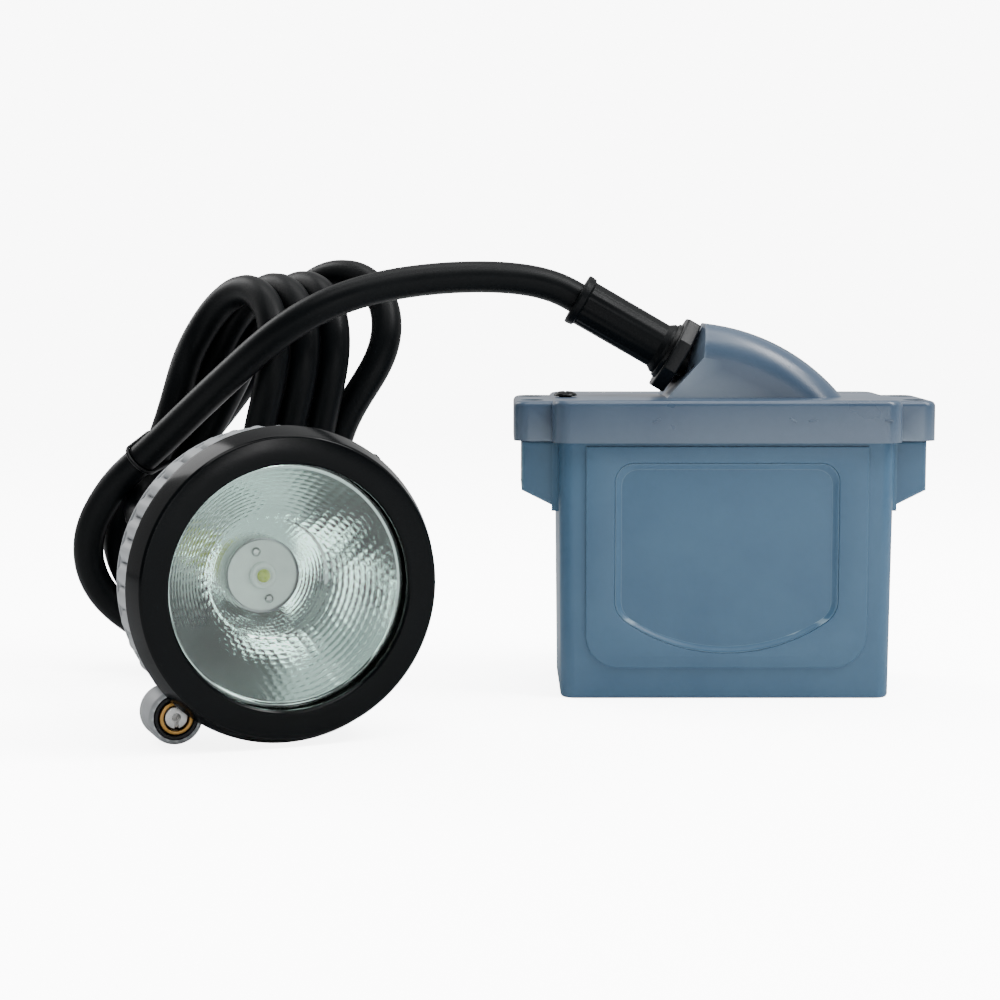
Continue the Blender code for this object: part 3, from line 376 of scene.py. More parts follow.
def finish(
    name, dark, light, rough,
    metallic=0.0, patch=60.0, grain=1800.0, depth=0.02, edge_highlight=None, specular=0.5, coat=0.0,
):
    """A moulded, turned or drawn surface: patchy tone and roughness, fine grain, and a painted highlight
    that makes sharp edges paler.
    """
    material, nodes, links, shader = make_nodes(name)
    patches = add_noise(nodes, links, patch, 4.0)
    fine = add_noise(nodes, links, grain, 2.0)
    colour = mix_colours(nodes, links, spread(nodes, links, patches, 0.0, 1.0), dark, light)
    # Painted highlight: sharp edges are lightened towards the given edge colour, by pointiness.
    if edge_highlight:
        geometry = nodes.new("ShaderNodeNewGeometry")
        edge = add_range(nodes, links, geometry.outputs["Pointiness"], HIGHLIGHT_POINTINESS, (0.0, MOST_EDGE_HIGHLIGHT))
        colour = mix_colours(nodes, links, edge, colour, edge_highlight)
    links.new(colour, shader.inputs["Base Color"])
    links.new(spread(nodes, links, patches, *rough), shader.inputs["Roughness"])
    bump = nodes.new("ShaderNodeBump")
    set_inputs(bump, {"Strength": 0.6, "Distance": depth * MM})
    links.new(fine, bump.inputs["Height"])
    links.new(bump.outputs["Normal"], shader.inputs["Normal"])
    set_inputs(shader, {"Metallic": metallic, "Specular IOR Level": specular})
    set_inputs(shader, {"Coat Weight": coat, "Coat Roughness": 0.12})
    return material


def clear_glass():
    """Glass that lets the lights through to the bowl behind it."""
    material, nodes, links, shader = make_nodes("glass")
    tint = (*screen((236, 248, 244)), 1.0)
    set_inputs(shader, {"Base Color": tint, "Transmission Weight": 1.0, "IOR": 1.5})
    smears = add_noise(nodes, links, 90.0, 5.0)
    links.new(spread(nodes, links, smears, 0.0, 0.03), shader.inputs["Roughness"])
    clear = nodes.new("ShaderNodeBsdfTransparent").outputs["BSDF"]
    path = nodes.new("ShaderNodeLightPath")
    shown = mix_shaders(nodes, links, path.outputs["Is Shadow Ray"], shader.outputs["BSDF"], clear)
    links.new(shown, nodes["Material Output"].inputs["Surface"])
    return material


LOOKS = {name: finish(name, *tones, **extras) for name, (*tones, extras) in FINISHES.items()}
LOOKS["glass"] = clear_glass()

# ---- shape helpers


SHARP_ANGLE = 38.0


def place_at(x=0.0, y=0.0, z=0.0):
    return Matrix.Translation((x, y, z))


def turn(degrees, axis):
    return Matrix.Rotation(math.radians(degrees), 4, axis)


def arc(centre_x, centre_y, radius, start, end, steps):
    found = []
    for step in range(steps + 1):
        angle = math.radians(start + (end - start) * step / steps)
        found.append((centre_x + radius * math.cos(angle), centre_y + radius * math.sin(angle)))
    return found


def rod(radius, one_end, other_end):
    """The profile of a plain rod."""
    return [(0, one_end), (radius, one_end), (radius, other_end), (0, other_end)]


def polygon(radius, sides, start=0.0):
    return arc(0.0, 0.0, radius, start, start + 360.0, sides)[:-1]


def rounded_rectangle(half_x, half_y, radius):
    x, y = half_x - radius, half_y - radius
    outline = []
    for quarter, (side, end) in enumerate(((1, 1), (-1, 1), (-1, -1), (1, -1))):
        outline += arc(side * x, end * y, radius, 90 * quarter, 90 * quarter + 90, 8)
    return outline


def rounded(profile, radius, steps=4):
    """An open profile with each inner corner rounded, as far as its sides allow."""
    points = [Vector(point) for point in profile]
    found = [points[0]]
    for before, corner, after in zip(points, points[1:], points[2:]):
        one, two = before - corner, after - corner
        opening = one.angle(two, math.pi)
        if opening > math.radians(172.0):
            found.append(corner)
            continue
        reach = min(radius / math.tan(opening / 2), 0.46 * one.length, 0.46 * two.length)
        start, end = corner + one.normalized() * reach, corner + two.normalized() * reach
        for step in range(steps + 1):
            share = step / steps
            found.append(start.lerp(corner, share).lerp(corner.lerp(end, share), share))
    found.append(points[-1])
    return [(point.x, point.y) for point in found]


def shaded(bm, transform, sharp=SHARP_ANGLE):
    """A mesh in metres from a bmesh in millimetres."""
    bmesh.ops.recalc_face_normals(bm, faces=bm.faces)
    bm.transform(Matrix.Scale(MM, 4) @ transform)
    mesh = bpy.data.meshes.new("shape")
    bm.to_mesh(mesh)
    bm.free()
    mesh.shade_smooth()
    mesh.set_sharp_from_angle(angle=math.radians(sharp))
    return mesh


def turned(profile, transform, steps=96, sharp=SHARP_ANGLE, wave=None):
    """(radius, height) points turned about Z. A profile off the axis at both ends closes on itself.

    wave gives what to add to the radius and height at an angle.
    """
    bm = bmesh.new()
    rings = []
    for radius, height in profile:
        if radius < 0.0001:
            rings.append([bm.verts.new((0.0, 0.0, height))])
            continue
        loop = []
        for step in range(steps):
            angle = 2 * math.pi * step / steps
            out, up = wave(angle, radius, height) if wave else (0.0, 0.0)
            reach = radius + out
            loop.append(bm.verts.new((reach * math.cos(angle), reach * math.sin(angle), height + up)))
        rings.append(loop)
    if len(rings[0]) > 1:
        rings.append(rings[0])
    for one, two in zip(rings, rings[1:]):
        for step in range(steps):
            after = (step + 1) % steps
            if len(one) == 1:
                bm.faces.new((one[0], two[step], two[after]))
            elif len(two) == 1:
                bm.faces.new((one[step], two[0], one[after]))
            else:
                bm.faces.new((one[step], two[step], two[after], one[after]))
    return shaded(bm, transform, sharp)


def head_turned(profile, x=0.0, z=0.0, steps=96, sharp=SHARP_ANGLE, wave=None):
    """(radius, depth) points turned about the head's own depth axis."""
    flat = [(radius, -depth) for radius, depth in profile]
    return turned(flat, HEAD @ place_at(x, 0.0, z) @ turn(90, "X"), steps, sharp, wave)


def prism(outlines, low, high, transform=Matrix.Identity(4), bevel=0.0, trim=None):
    """Flat outlines, later ones being holes, raised from low to high along Z, with rounded rims.

    trim cuts away what lies below that height.
    """
    curve = bpy.data.curves.new("outline", "CURVE")
    curve.dimensions = "2D"
    curve.fill_mode = "BOTH"
    curve.extrude = (high - low) / 2 - bevel
    curve.bevel_depth = bevel
    curve.bevel_resolution = 3
    curve.offset = -bevel
    for outline in outlines:
        spline = curve.splines.new("POLY")
        spline.points.add(len(outline) - 1)
        for point, (x, y) in zip(spline.points, outline):
            point.co = (x, y, 0.0, 1.0)
        spline.use_cyclic_u = True
    guide = new_object("outline", curve)
    flat = bpy.data.meshes.new_from_object(guide.evaluated_get(bpy.context.evaluated_depsgraph_get()))
    bpy.data.objects.remove(guide)
    bm = bmesh.new()
    bm.from_mesh(flat)
    bmesh.ops.remove_doubles(bm, verts=bm.verts, dist=0.005)
    bmesh.ops.translate(bm, vec=(0.0, 0.0, (low + high) / 2), verts=bm.verts)
    if trim is not None:
        whole = list(bm.verts) + list(bm.edges) + list(bm.faces)
        plane = {"plane_co": (0, 0, trim), "plane_no": (0, 0, -1)}
        bmesh.ops.bisect_plane(bm, geom=whole, clear_outer=True, **plane)
        bmesh.ops.holes_fill(bm, edges=[edge for edge in bm.edges if edge.is_boundary])
    return shaded(bm, transform)


SIDEWAYS = turn(90, "X")
ENDWAYS = turn(90, "Z") @ turn(90, "X")


def side_prism(outlines, near, far, bevel=0.0, transform=Matrix.Identity(4)):
    """Outlines in X and Z, raised along +Y from near to far."""
    return prism(outlines, -far, -near, transform @ SIDEWAYS, bevel)


def end_prism(outlines, low, high, bevel=0.0, transform=Matrix.Identity(4)):
    """Outlines in Y and Z, raised along +X from low to high."""
    return prism(outlines, low, high, transform @ ENDWAYS, bevel)


def block(low, high, transform=Matrix.Identity(4), bevel=0.0):
    low, high = Vector(low), Vector(high)
    bm = bmesh.new()
    bmesh.ops.create_cube(bm, size=1.0)
    bmesh.ops.scale(bm, vec=high - low, verts=bm.verts)
    bmesh.ops.translate(bm, vec=(low + high) / 2, verts=bm.verts)
    if bevel:
        bmesh.ops.bevel(bm, geom=list(bm.edges), offset=bevel, segments=3, profile=0.5, affect="EDGES")
    return shaded(bm, transform)


def carved(mesh, others, operation="DIFFERENCE"):
    """The mesh with the others cut away from it, or joined to it."""
    temporary = [new_object("carve", shape) for shape in [mesh] + others]
    for other in temporary[1:]:
        modifier = temporary[0].modifiers.new("carve", "BOOLEAN")
        modifier.operation = operation
        modifier.object = other
    result = temporary[0].evaluated_get(bpy.context.evaluated_depsgraph_get())
    result = bpy.data.meshes.new_from_object(result)
    for obj in temporary:
        bpy.data.objects.remove(obj)
    result.shade_smooth()
    result.set_sharp_from_angle(angle=math.radians(SHARP_ANGLE))
    return result


def gathered(meshes):
    """Several shells as one mesh."""
    bm = bmesh.new()
    for mesh in meshes:
        bm.from_mesh(mesh)
    result = bpy.data.meshes.new("shape")
    bm.to_mesh(result)
    bm.free()
    return result


def add_piece(name, data, slot, nodes, body="lamp"):
    """Shows a detailed piece in place of the CAD nodes it stands for."""
    piece = new_object(name, data)
    data.materials.clear()
    data.materials.append(LOOKS[slot])
    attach(piece, body)
    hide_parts(*nodes)
    return piece


# ---- cord

# Each row is a point and how firmly the cord is held there, from 0, loose, to 1.
LEAD_ROUTE = [
    (-34.9, 0.1, 103.9, 1.0),
    (-39.3, 0.0, 106.3, 1.0),
    (-44.4, -0.2, 109.0, 0.9),
    (-54.0, -2.0, 111.2, 0.9),
    (-66.0, -5.0, 111.9, 0.9),
    (-78.0, -8.5, 111.3, 0.9),
    (-90.0, -12.5, 109.6, 0.9),
    (-100.5, -16.0, 106.7, 0.9),
    (-110.3, -18.2, 102.4, 0.9),
    (-120.0, -16.8, 96.0, 0.9),
    (-130.5, -11.5, 87.2, 0.9),
    (-142.0, -5.0, 77.2, 0.9),
    (-153.5, 0.8, 66.5, 0.9),
    (-163.5, 5.2, 56.6, 0.9),
    (-171.5, 8.0, 47.0, 0.9),
    (-175.6, 9.0, 38.5, 0.9),
    (-174.8, 9.0, 30.0, 0.8),
    (-169.6, 10.0, 22.0, 0.8),
]
# The cord passes under the hank and rises into its first, wide turn.
WIDE_TURN = [
    (-158.0, 14.0, 14.0, 0.4),
    (-146.0, 17.0, 4.6, 0.3),
    (-134.0, 18.0, 4.6, 0.3),
    (-122.0, 19.5, 6.5, 0.2),
    (-113.0, 20.0, 15.0, 0.1),
    (-108.5, 19.5, 28.0, 0.1),
    (-107.5, 16.0, 46.0, 0.1),
    (-107.0, 13.0, 62.0, 0.4),
    (-102.0, 11.0, 76.0, 0.5),
    (-94.0, 12.0, 89.0, 0.6),
    (-91.0, 14.0, 101.0, 0.6),
    (-97.0, 22.0, 111.0, 0.7),
    (-110.0, 30.0, 112.0, 0.5),
    (-120.0, 36.0, 104.0, 0.3),
    (-126.0, 37.0, 95.0, 0.2),
    (-136.0, 32.0, 80.0, 0.3),
    (-147.0, 29.0, 65.0, 0.3),
    (-159.0, 30.0, 50.0, 0.1),
    (-164.0, 30.0, 35.0, 0.1),
    (-160.0, 28.0, 21.0, 0.1),
    (-146.0, 23.0, 13.5, 0.1),
    (-132.0, 19.0, 15.0, 0.1),
]
# The three neat turns: a row of the front one, and the step to the same point one turn behind.
NEAT_TURNS = 3
NEAT_TURN = [
    ((-131.0, -1.0, 30.0, 0.05), (6.5, 6.2, 0.0)),
    ((-129.0, -2.0, 48.0, 0.1), (7.8, 4.8, 0.0)),
    ((-127.0, -2.0, 64.0, 0.5), (7.9, 4.5, 0.0)),
    ((-123.6, -4.0, 79.0, 0.6), (7.9, 4.5, 0.0)),
    ((-121.4, -4.0, 94.0, 0.6), (7.9, 4.5, 0.0)),
    ((-123.5, 1.0, 104.0, 0.6), (8.0, 4.5, 0.0)),
    ((-130.5, 11.0, 109.0, 0.8), (8.4, 4.0, 1.0)),
    ((-138.0, 20.0, 104.0, 0.4), (7.0, 4.6, 0.0)),
    ((-142.5, 22.0, 95.0, 0.3), (6.2, 4.4, 0.0)),
    ((-149.5, 16.0, 80.0, 0.3), (5.0, 4.4, 0.0)),
    ((-158.0, 16.0, 65.0, 0.2), (5.0, 4.0, 0.0)),
    ((-172.0, 15.0, 50.0, 0.05), (7.5, 4.0, 0.0)),
    ((-174.5, 11.0, 35.0, 0.05), (6.0, 5.6, 0.0)),
    ((-168.0, 7.0, 21.0, 0.05), (5.0, 6.6, 0.0)),
    ((-155.0, 2.5, 14.0, 0.1), (5.5, 7.0, 0.0)),
    ((-141.0, -2.0, 16.0, 0.05), (6.0, 7.0, 0.0)),
]
FRONT_TURN_POINTS = 10
TAIL_ROUTE = [
    (-154.5, 10.0, 66.5, 0.6),
    (-158.5, 12.0, 56.5, 0.5),
    (-160.2, 8.0, 49.0, 0.6),
    (-160.6, 0.8, 47.4, 0.7),
    (-158.4, -5.5, 48.0, 0.9),
    (-154.7, -10.0, 48.2, 0.9),
    (-151.1, -13.8, 48.3, 0.9),
    (-147.6, -17.0, 48.3, 0.9),
    (-145.2, -19.5, 48.35, 0.95),
    (-143.6, -23.1, 48.35, 1.0),
    (-142.1, -26.9, 48.35, 1.0),
]


def cord_route():
    """Rows of the whole route."""
    route = LEAD_ROUTE + WIDE_TURN
    for back in reversed(range(NEAT_TURNS)):
        points = NEAT_TURN if back else NEAT_TURN[:FRONT_TURN_POINTS]
        for row, step in points:
            route.append((*(start + back * shift for start, shift in zip(row, step)), row[3]))
    return route + TAIL_ROUTE


def evenly(points, values, spacing):
    """Evenly spaced points on a Catmull-Rom curve through the points, with the values between them."""
    before = np.vstack([2 * points[0] - points[1], points[:-1]])
    after = np.vstack([points[1:], 2 * points[-1] - points[-2]])
    shares = np.linspace(0.0, 1.0, 30, endpoint=False)[:, None]
    fine = []
    for index in range(len(points) - 1):
        first, start, end, last = before[index], points[index], points[index + 1], after[index + 1]
        once = 2 * start + (end - first) * shares
        squared = (2 * first - 5 * start + 4 * end - last) * shares**2
        cubed = (3 * start - first - 3 * end + last) * shares**3
        fine.append(0.5 * (once + squared + cubed))
    fine = np.vstack(fine + [points[-1:]])
    along = np.r_[0.0, np.cumsum(np.linalg.norm(np.diff(fine, axis=0), axis=1))]
    steps = np.linspace(0.0, along[-1], int(round(along[-1] / spacing)) + 1)
    even = np.array([np.interp(steps, along, fine[:, axis]) for axis in range(3)]).T
    return even, np.interp(steps, along[::30], values), steps[1]


def settled(targets, holds, step):
    """Lets the cord ease into place: turns a diameter apart, no tight bends, nothing below the floor."""
    clear = CORD_DIAMETER + CORD_GAP
    count = len(targets)
    cord = targets.copy()
    fixed = np.zeros(count, bool)
    fixed[:3] = fixed[-3:] = True
    sag = step**2 / (2 * LEAST_BEND)
    order = np.arange(count)
    apart = np.abs(np.subtract.outer(order, order)) >= int(3 * CORD_DIAMETER / step) + 1
    ease = np.where(holds > FIRM_HOLD, 0.5, 0.12)
    for number in range(SETTLING_ROUNDS):
        strength = 0.03 if number < 0.75 * SETTLING_ROUNDS else 0.008
        pull = (targets - cord) * strength * holds[:, None]
        pull[:, 1] *= ease
        cord += pull
        for _ in range(8):
            over = cord[1:-1] - (cord[:-2] + cord[2:]) / 2
            size = np.linalg.norm(over, axis=1)
            excess = over * (np.clip(size - 0.97 * sag, 0.0, None) / np.maximum(size, 1e-9))[:, None]
            cord[1:-1] -= excess * 0.5
            cord[:-2] += excess * 0.25
            cord[2:] += excess * 0.25
            cord[fixed] = targets[fixed]
        fairing = cord[:-4] - 4 * cord[1:-3] + 6 * cord[2:-2] - 4 * cord[3:-1] + cord[4:]
        cord[2:-2] -= fairing * 0.03
        squares = ((cord[:, None, :] - cord[None, :, :]) ** 2).sum(-1)
        one, two = np.nonzero(np.triu(apart & (squares < clear**2)))
        gap = cord[one] - cord[two]
        size = np.linalg.norm(gap, axis=1)
        push = gap * ((clear - size) / np.maximum(size, 1e-6) * 0.25)[:, None]
        np.add.at(cord, one, push)
        np.add.at(cord, two, -push)
        cord[:, 2] = np.maximum(cord[:, 2], CORD_FLOOR)
        for _ in range(2):
            span = np.diff(cord, axis=0)
            size = np.linalg.norm(span, axis=1)
            even_out = span * ((size - step) / size * 0.25)[:, None]
            cord[:-1] += even_out
            cord[1:] -= even_out
        cord[fixed] = targets[fixed]
    return cord


def add_spline(name, points, radius, closed=False, sides=6):
    curve = bpy.data.curves.new(name, "CURVE")
    curve.dimensions = "3D"
    curve.bevel_depth = radius * MM
    curve.bevel_resolution = sides
    curve.use_fill_caps = True
    curve.resolution_u = 4
    spline = curve.splines.new("NURBS")
    spline.points.add(len(points) - 1)
    for point, place in zip(spline.points, points):
        point.co = (*(Vector(place) * MM), 1.0)
    spline.order_u = 4
    spline.use_endpoint_u = not closed
    spline.use_cyclic_u = closed
    return curve


def tie_route(cord):
    """A band pulled round the strands that cross the plane square to the lead where the hank is tied."""
    start, end = (np.array(LEAD_ROUTE[index][:3]) for index in TIED_BETWEEN)
    centre = (start + end) / 2
    normal = (end - start) / np.linalg.norm(end - start)
    across = np.cross(normal, (0.0, 0.0, 1.0))
    across /= np.linalg.norm(across)
    beyond = np.cross(normal, across)
    height = (cord - centre) @ normal
    strands = []
    for index in range(len(cord) - 1):
        if height[index] * height[index + 1] > 0:
            continue
        share = height[index] / (height[index] - height[index + 1])
        place = cord[index] + share * (cord[index + 1] - cord[index]) - centre
        if np.linalg.norm(place) < TIED_REACH:
            run = cord[index + 1] - cord[index]
            run = run / np.linalg.norm(run)
            lean = np.array([run @ across, run @ beyond]) / (run @ normal)
            strands.append((np.array([place @ across, place @ beyond]), lean))
    radius = CORD_DIAMETER / 2 + TIE_RADIUS
    route = []
    for step in range(TIE_POINTS):
        angle = 2 * math.pi * step / TIE_POINTS
        out = np.array([math.cos(angle), math.sin(angle)])
        reaches = []
        for middle, lean in strands:
            spread_out = out + lean * (lean @ out)
            touch = middle + radius * spread_out / math.sqrt(out @ spread_out)
            reaches.append((touch @ out, tuple(touch)))
        _, touch = max(reaches)
        route.append(centre + across * touch[0] + beyond * touch[1])
    return route


def build_cord():
    route = np.array(cord_route())
    targets, holds, step = evenly(route[:, :3], route[:, 3], CORD_SPACING)
    line = settled(targets, holds, step)
    cord = add_piece(
        "cord",
        add_spline("cord", line, CORD_DIAMETER / 2),
        "black_rubber",
        ["cord_lead", "cord_hank", "cord_tail"],
    )
    band = add_spline("tie", tie_route(line), TIE_RADIUS, closed=True, sides=3)
    tie = add_piece("tie", band, "black_plastic", ["cord_tie"])


# ---- battery


def shield_outline(half_width, top, side_low, arc_low, corner):
    """A panel with a straight top, a bottom edge that bows down, and rounded corners."""
    drop = side_low - arc_low
    radius = (half_width**2 + drop**2) / (2 * drop)
    middle = arc_low + radius
    foot = 1.4 * corner
    low = middle - math.sqrt((radius - foot) ** 2 - (half_width - foot) ** 2)
    reach = math.degrees(math.asin((half_width - foot) / (radius - foot)))
    return (
        arc(half_width - corner, top - corner, corner, 0, 90, 8)
        + arc(corner - half_width, top - corner, corner, 90, 180, 8)
        + arc(foot - half_width, low, foot, 180, 270 - reach, 8)
        + arc(0.0, middle, radius, 270 - reach, 270 + reach, 40)
        + arc(half_width - foot, low, foot, 270 + reach, 360, 8)
    )


def build_panel_slope(front):
    """The sloping border that leads from the raised field down to the sunk panel."""
    floor, brink = -CASE_HALF_DEPTH - 0.02, front + 0.05
    loops = [(shield_outline(29.9, 63.3, 22.7, 12.1, 5.3), floor + 0.6)]
    for step in range(SLOPE_STEPS + 1):
        share = step / SLOPE_STEPS
        inset = SLOPE_WIDTH * share
        outline = shield_outline(29.5 - inset, 62.9 - inset, 23.1, 12.5 + inset, 4.9 - 0.4 * inset)
        fall = 0.5 - 0.5 * math.cos(math.pi * share)
        loops.append((outline, brink + (floor - brink) * fall))
    bm = bmesh.new()
    rings = [[bm.verts.new((x, y, z)) for x, z in outline] for outline, y in loops]
    for one, two in zip(rings, rings[1:] + rings[:1]):
        for step in range(len(one)):
            after = (step + 1) % len(one)
            bm.faces.new((one[step], one[after], two[after], two[step]))
    return shaded(bm, Matrix(), 30.0)


def build_case():
    wall = rounded_rectangle(CASE_HALF_WIDTH_TOP, CASE_HALF_DEPTH, 4.0)
    body = prism([wall], 0.0, CASE_TOP, bevel=0.9)
    base = CASE_HALF_WIDTH_BASE / CASE_HALF_WIDTH_TOP
    for vertex in body.vertices:
        vertex.co.x *= base + (1.0 - base) * vertex.co.z / (CASE_TOP * MM)
    room = rounded_rectangle(CASE_HALF_WIDTH_BASE - CASE_WALL, CASE_HALF_DEPTH - CASE_WALL, 1.6)
    body = carved(body, [prism([room], CASE_WALL, CASE_TOP + 5.0)])
    field = [(37.3, 67.4), (-37.3, 67.4)]
    field += arc(-28.3, 17.4, 9.0, 180, 270, 10) + arc(28.3, 17.4, 9.0, 270, 360, 10)
    panel = shield_outline(29.6, 63.0, 23.0, 12.4, 5.0)
    front = -CASE_HALF_DEPTH - PANEL_RELIEF
    raised = side_prism([field, panel], front, -CASE_HALF_DEPTH + 1.2, 0.3)
    shells = [body, raised, build_panel_slope(front)]
    for side in (-1, 1):
        root, tip = side * (CASE_HALF_WIDTH_BASE - 2.0), side * EAR_HALF_WIDTH
        ear = [(root, EAR_TOP), (tip, EAR_TOP), (tip, 55.0), (root, 48.8)]
        ear = side_prism([ear], -EAR_HALF_DEPTH, EAR_HALF_DEPTH, 0.9)
        places = [place_at(side * SCREW_X, end * SCREW_Y) for end in (-1, 1)]
        holes = [turned(rod(1.75, 70, 57), place, 24) for place in places]
        shells.append(carved(ear, holes))
        cove = [(side * 42.5, -15.4)]
        for angle in (0.0, 0.4, 0.8, 1.2, 1.5708):
            out, back = 2.2 * (1 - math.sin(angle)), 2.2 * (1 - math.cos(angle))
            cove.append((side * (44.0 + out), -15.4 - back))
        cove.append((side * 42.5, -14.0))
        for outline in (cove, [(x, -y) for x, y in cove]):
            shells.append(prism([outline], 49.5, EAR_TOP - 0.4))
    add_piece("battery_case_shell", gathered(shells), "case_blue", ["battery_case"])


def build_hood():
    """The cable hood: a sloping face and an arc falling to the right, its crown rounded at the sides."""
    chord = HOOD_END - HOOD_PEAK
    depth = math.sqrt(HOOD_ARC_RADIUS**2 - (chord.length / 2) ** 2)
    centre = (HOOD_PEAK + HOOD_END) / 2 - Vector((-chord.y, chord.x)).normalized() * depth
    first = math.degrees(math.atan2(HOOD_PEAK.y - centre.y, HOOD_PEAK.x - centre.x))
    last = math.degrees(math.atan2(HOOD_END.y - centre.y, HOOD_END.x - centre.x))
    inward = Vector((HOOD_SLOPE.y, -HOOD_SLOPE.x))
    crown = arc(centre.x, centre.y, HOOD_ARC_RADIUS, first, last - 3.0, 40)
    root = LID_TOP - 2.5
    bm = bmesh.new()
    lines = []
    for number in range(2 * HOOD_SIDE_LINES):
        side = -1 if number < HOOD_SIDE_LINES else 1
        share = (number % HOOD_SIDE_LINES) / (HOOD_SIDE_LINES - 1)
        round_angle = math.radians(90.0 * (share if side < 0 else 1.0 - share))
        inset = HOOD_SOFTNESS * (1.0 - math.sin(round_angle))
        y = side * (HOOD_HALF_DEPTH - HOOD_SOFTNESS + HOOD_SOFTNESS * math.cos(round_angle))
        line = []
        for x, z in crown:
            out = (Vector((x, z)) - centre).normalized()
            drop = Vector((x, z)) - out * inset
            behind = (drop - HOOD_FOOT).dot(inward)
            if behind < 0:
                drop -= inward * behind
            line.append(bm.verts.new((drop.x, y, max(drop.y, root))))
        lines.append(line)
    for one, two in zip(lines, lines[1:]):
        for step in range(len(crown) - 1):
            bm.faces.new((one[step], one[step + 1], two[step + 1], two[step]))
    feet = []
    for line in (lines[0], lines[-1]):
        low = HOOD_FOOT - HOOD_SLOPE * (HOOD_FOOT.y - root) / HOOD_SLOPE.y
        foot = bm.verts.new((low.x, line[0].co.y, root))
        last_foot = bm.verts.new((line[-1].co.x, line[0].co.y, root))
        feet.append((foot, last_foot))
        bm.faces.new([foot] + line + [last_foot])
    (left_front, right_front), (left_back, right_back) = feet
    bm.faces.new([left_front, left_back] + [line[0] for line in reversed(lines)])
    bm.faces.new([right_front, right_back] + [line[-1] for line in reversed(lines)])
    bm.faces.new((left_front, left_back, right_back, right_front))
    bmesh.ops.remove_doubles(bm, verts=bm.verts, dist=0.001)
    bmesh.ops.dissolve_degenerate(bm, edges=bm.edges, dist=0.001)
    return shaded(bm, Matrix(), 32.0)


def lid_slab(half_width, half_depth, radius, top, bevel):
    """One of the lid's two crossed slabs, rounded at the top only."""
    outline = rounded_rectangle(half_width, half_depth, radius)
    return prism([outline], LID_BOTTOM - 6.0, top, bevel=bevel, trim=LID_BOTTOM)


def build_lid():
    room = prism([rounded_rectangle(44.95, 23.6, 4.2)], 60.0, 73.7)
    plate = carved(lid_slab(46.2, LID_HALF_DEPTH, 5.0, LID_TOP, 1.5), [room])
    well = [(0, 82), (3.5, 82), (3.1, 78.4), (3.1, 75.6), (1.75, 75.6), (1.75, 60), (0, 60)]
    wells = [
        turned(well, place_at(side * SCREW_X, end * SCREW_Y), 40) for side in (-1, 1) for end in (-1, 1)
    ]
    tabs = carved(lid_slab(56.3, 18.0, 4.0, TAB_TOP, 1.4), [room] + wells)
    shells = [plate, tabs, build_hood()]
    for x, tilt in LID_MARKS:
        where = place_at(x, -LID_HALF_DEPTH, 74.4) @ turn(tilt, "Y")
        shells.append(block((-1.1, -0.16, -0.22), (1.1, 0.4, 0.22), where, 0.12))
    add_piece("battery_lid_shell", gathered(shells), "lid_blue_grey", ["battery_lid"])


def gland_frame():
    """The middle of the sloping face, with +Z turned out of it, up and to the left."""
    centre = HOOD_FOOT + HOOD_SLOPE * GLAND_UP_SLOPE
    tilt = math.atan2(HOOD_SLOPE.x, HOOD_SLOPE.y) - math.radians(90.0)
    return place_at(centre.x, 0.0, centre.y) @ Matrix.Rotation(tilt, 4, "Y")


def sleeve_ribs(angle, radius, height):
    """Fine ribs along the sleeve, between the nut and the collar."""
    ribbed = 6.2 < radius < 6.35 and 8.0 < height < 31.0
    return (0.12 * math.cos(18 * angle) if ribbed else 0.0), 0.0


def build_gland():
    frame_of = gland_frame()
    flange = prism([polygon(11.2, 8, 22.5), polygon(5.0, 40)], 0.3, 4.3, frame_of, 0.55)
    shoulder = turned(rounded([(5.2, 4.0), (8.2, 4.0), (7.9, 5.4), (5.2, 5.4)], 0.4), frame_of, 64)
    add_piece("gland_nut_shell", gathered([flange, shoulder]), "black_plastic", ["gland_nut"])
    low, high = 4.6, 4.6 + 28.6
    outline = [(4.4, high), (7.0, high), (7.2, high - 0.6), (7.0, high - 2.2), (6.25, high - 2.6)]
    outline += [(6.3, low + 3.0), (7.3, low + 1.6), (7.3, low), (4.5, low), (4.5, -6.0), (4.35, -6.0)]
    sleeve = turned(rounded(outline, 0.3), frame_of, 144, wave=sleeve_ribs)
    add_piece("strain_relief_sleeve", sleeve, "black_rubber", ["strain_relief"])


def cross_screw(radius, low, high, shank_radius, shank_low, transform, dome=0.0, recess=1.2):
    """A screw with a cross recess, its head up along the transform's Z."""
    profile = [(0, high + dome), (radius * 0.6, high + dome * 0.6), (radius, high - 0.3), (radius, low)]
    profile += [(shank_radius, low), (shank_radius, shank_low), (0, shank_low)]
    screw = turned(rounded(profile, 0.25, 3), transform, 40)
    reach = radius * 0.62
    top, floor = high + dome + 1.0, high + dome - recess
    turned_slot = transform @ turn(20, "Z")
    one = block((-reach, -0.32, floor), (reach, 0.32, top), turned_slot)
    two = block((-0.32, -reach, floor), (0.32, reach, top), turned_slot)
    return carved(screw, [carved(one, [two], "UNION")])


def add_screw(kind, which, *shape):
    add_piece(f"{kind}_head_{which}", cross_screw(*shape), "steel", [f"{kind}_{which}"])


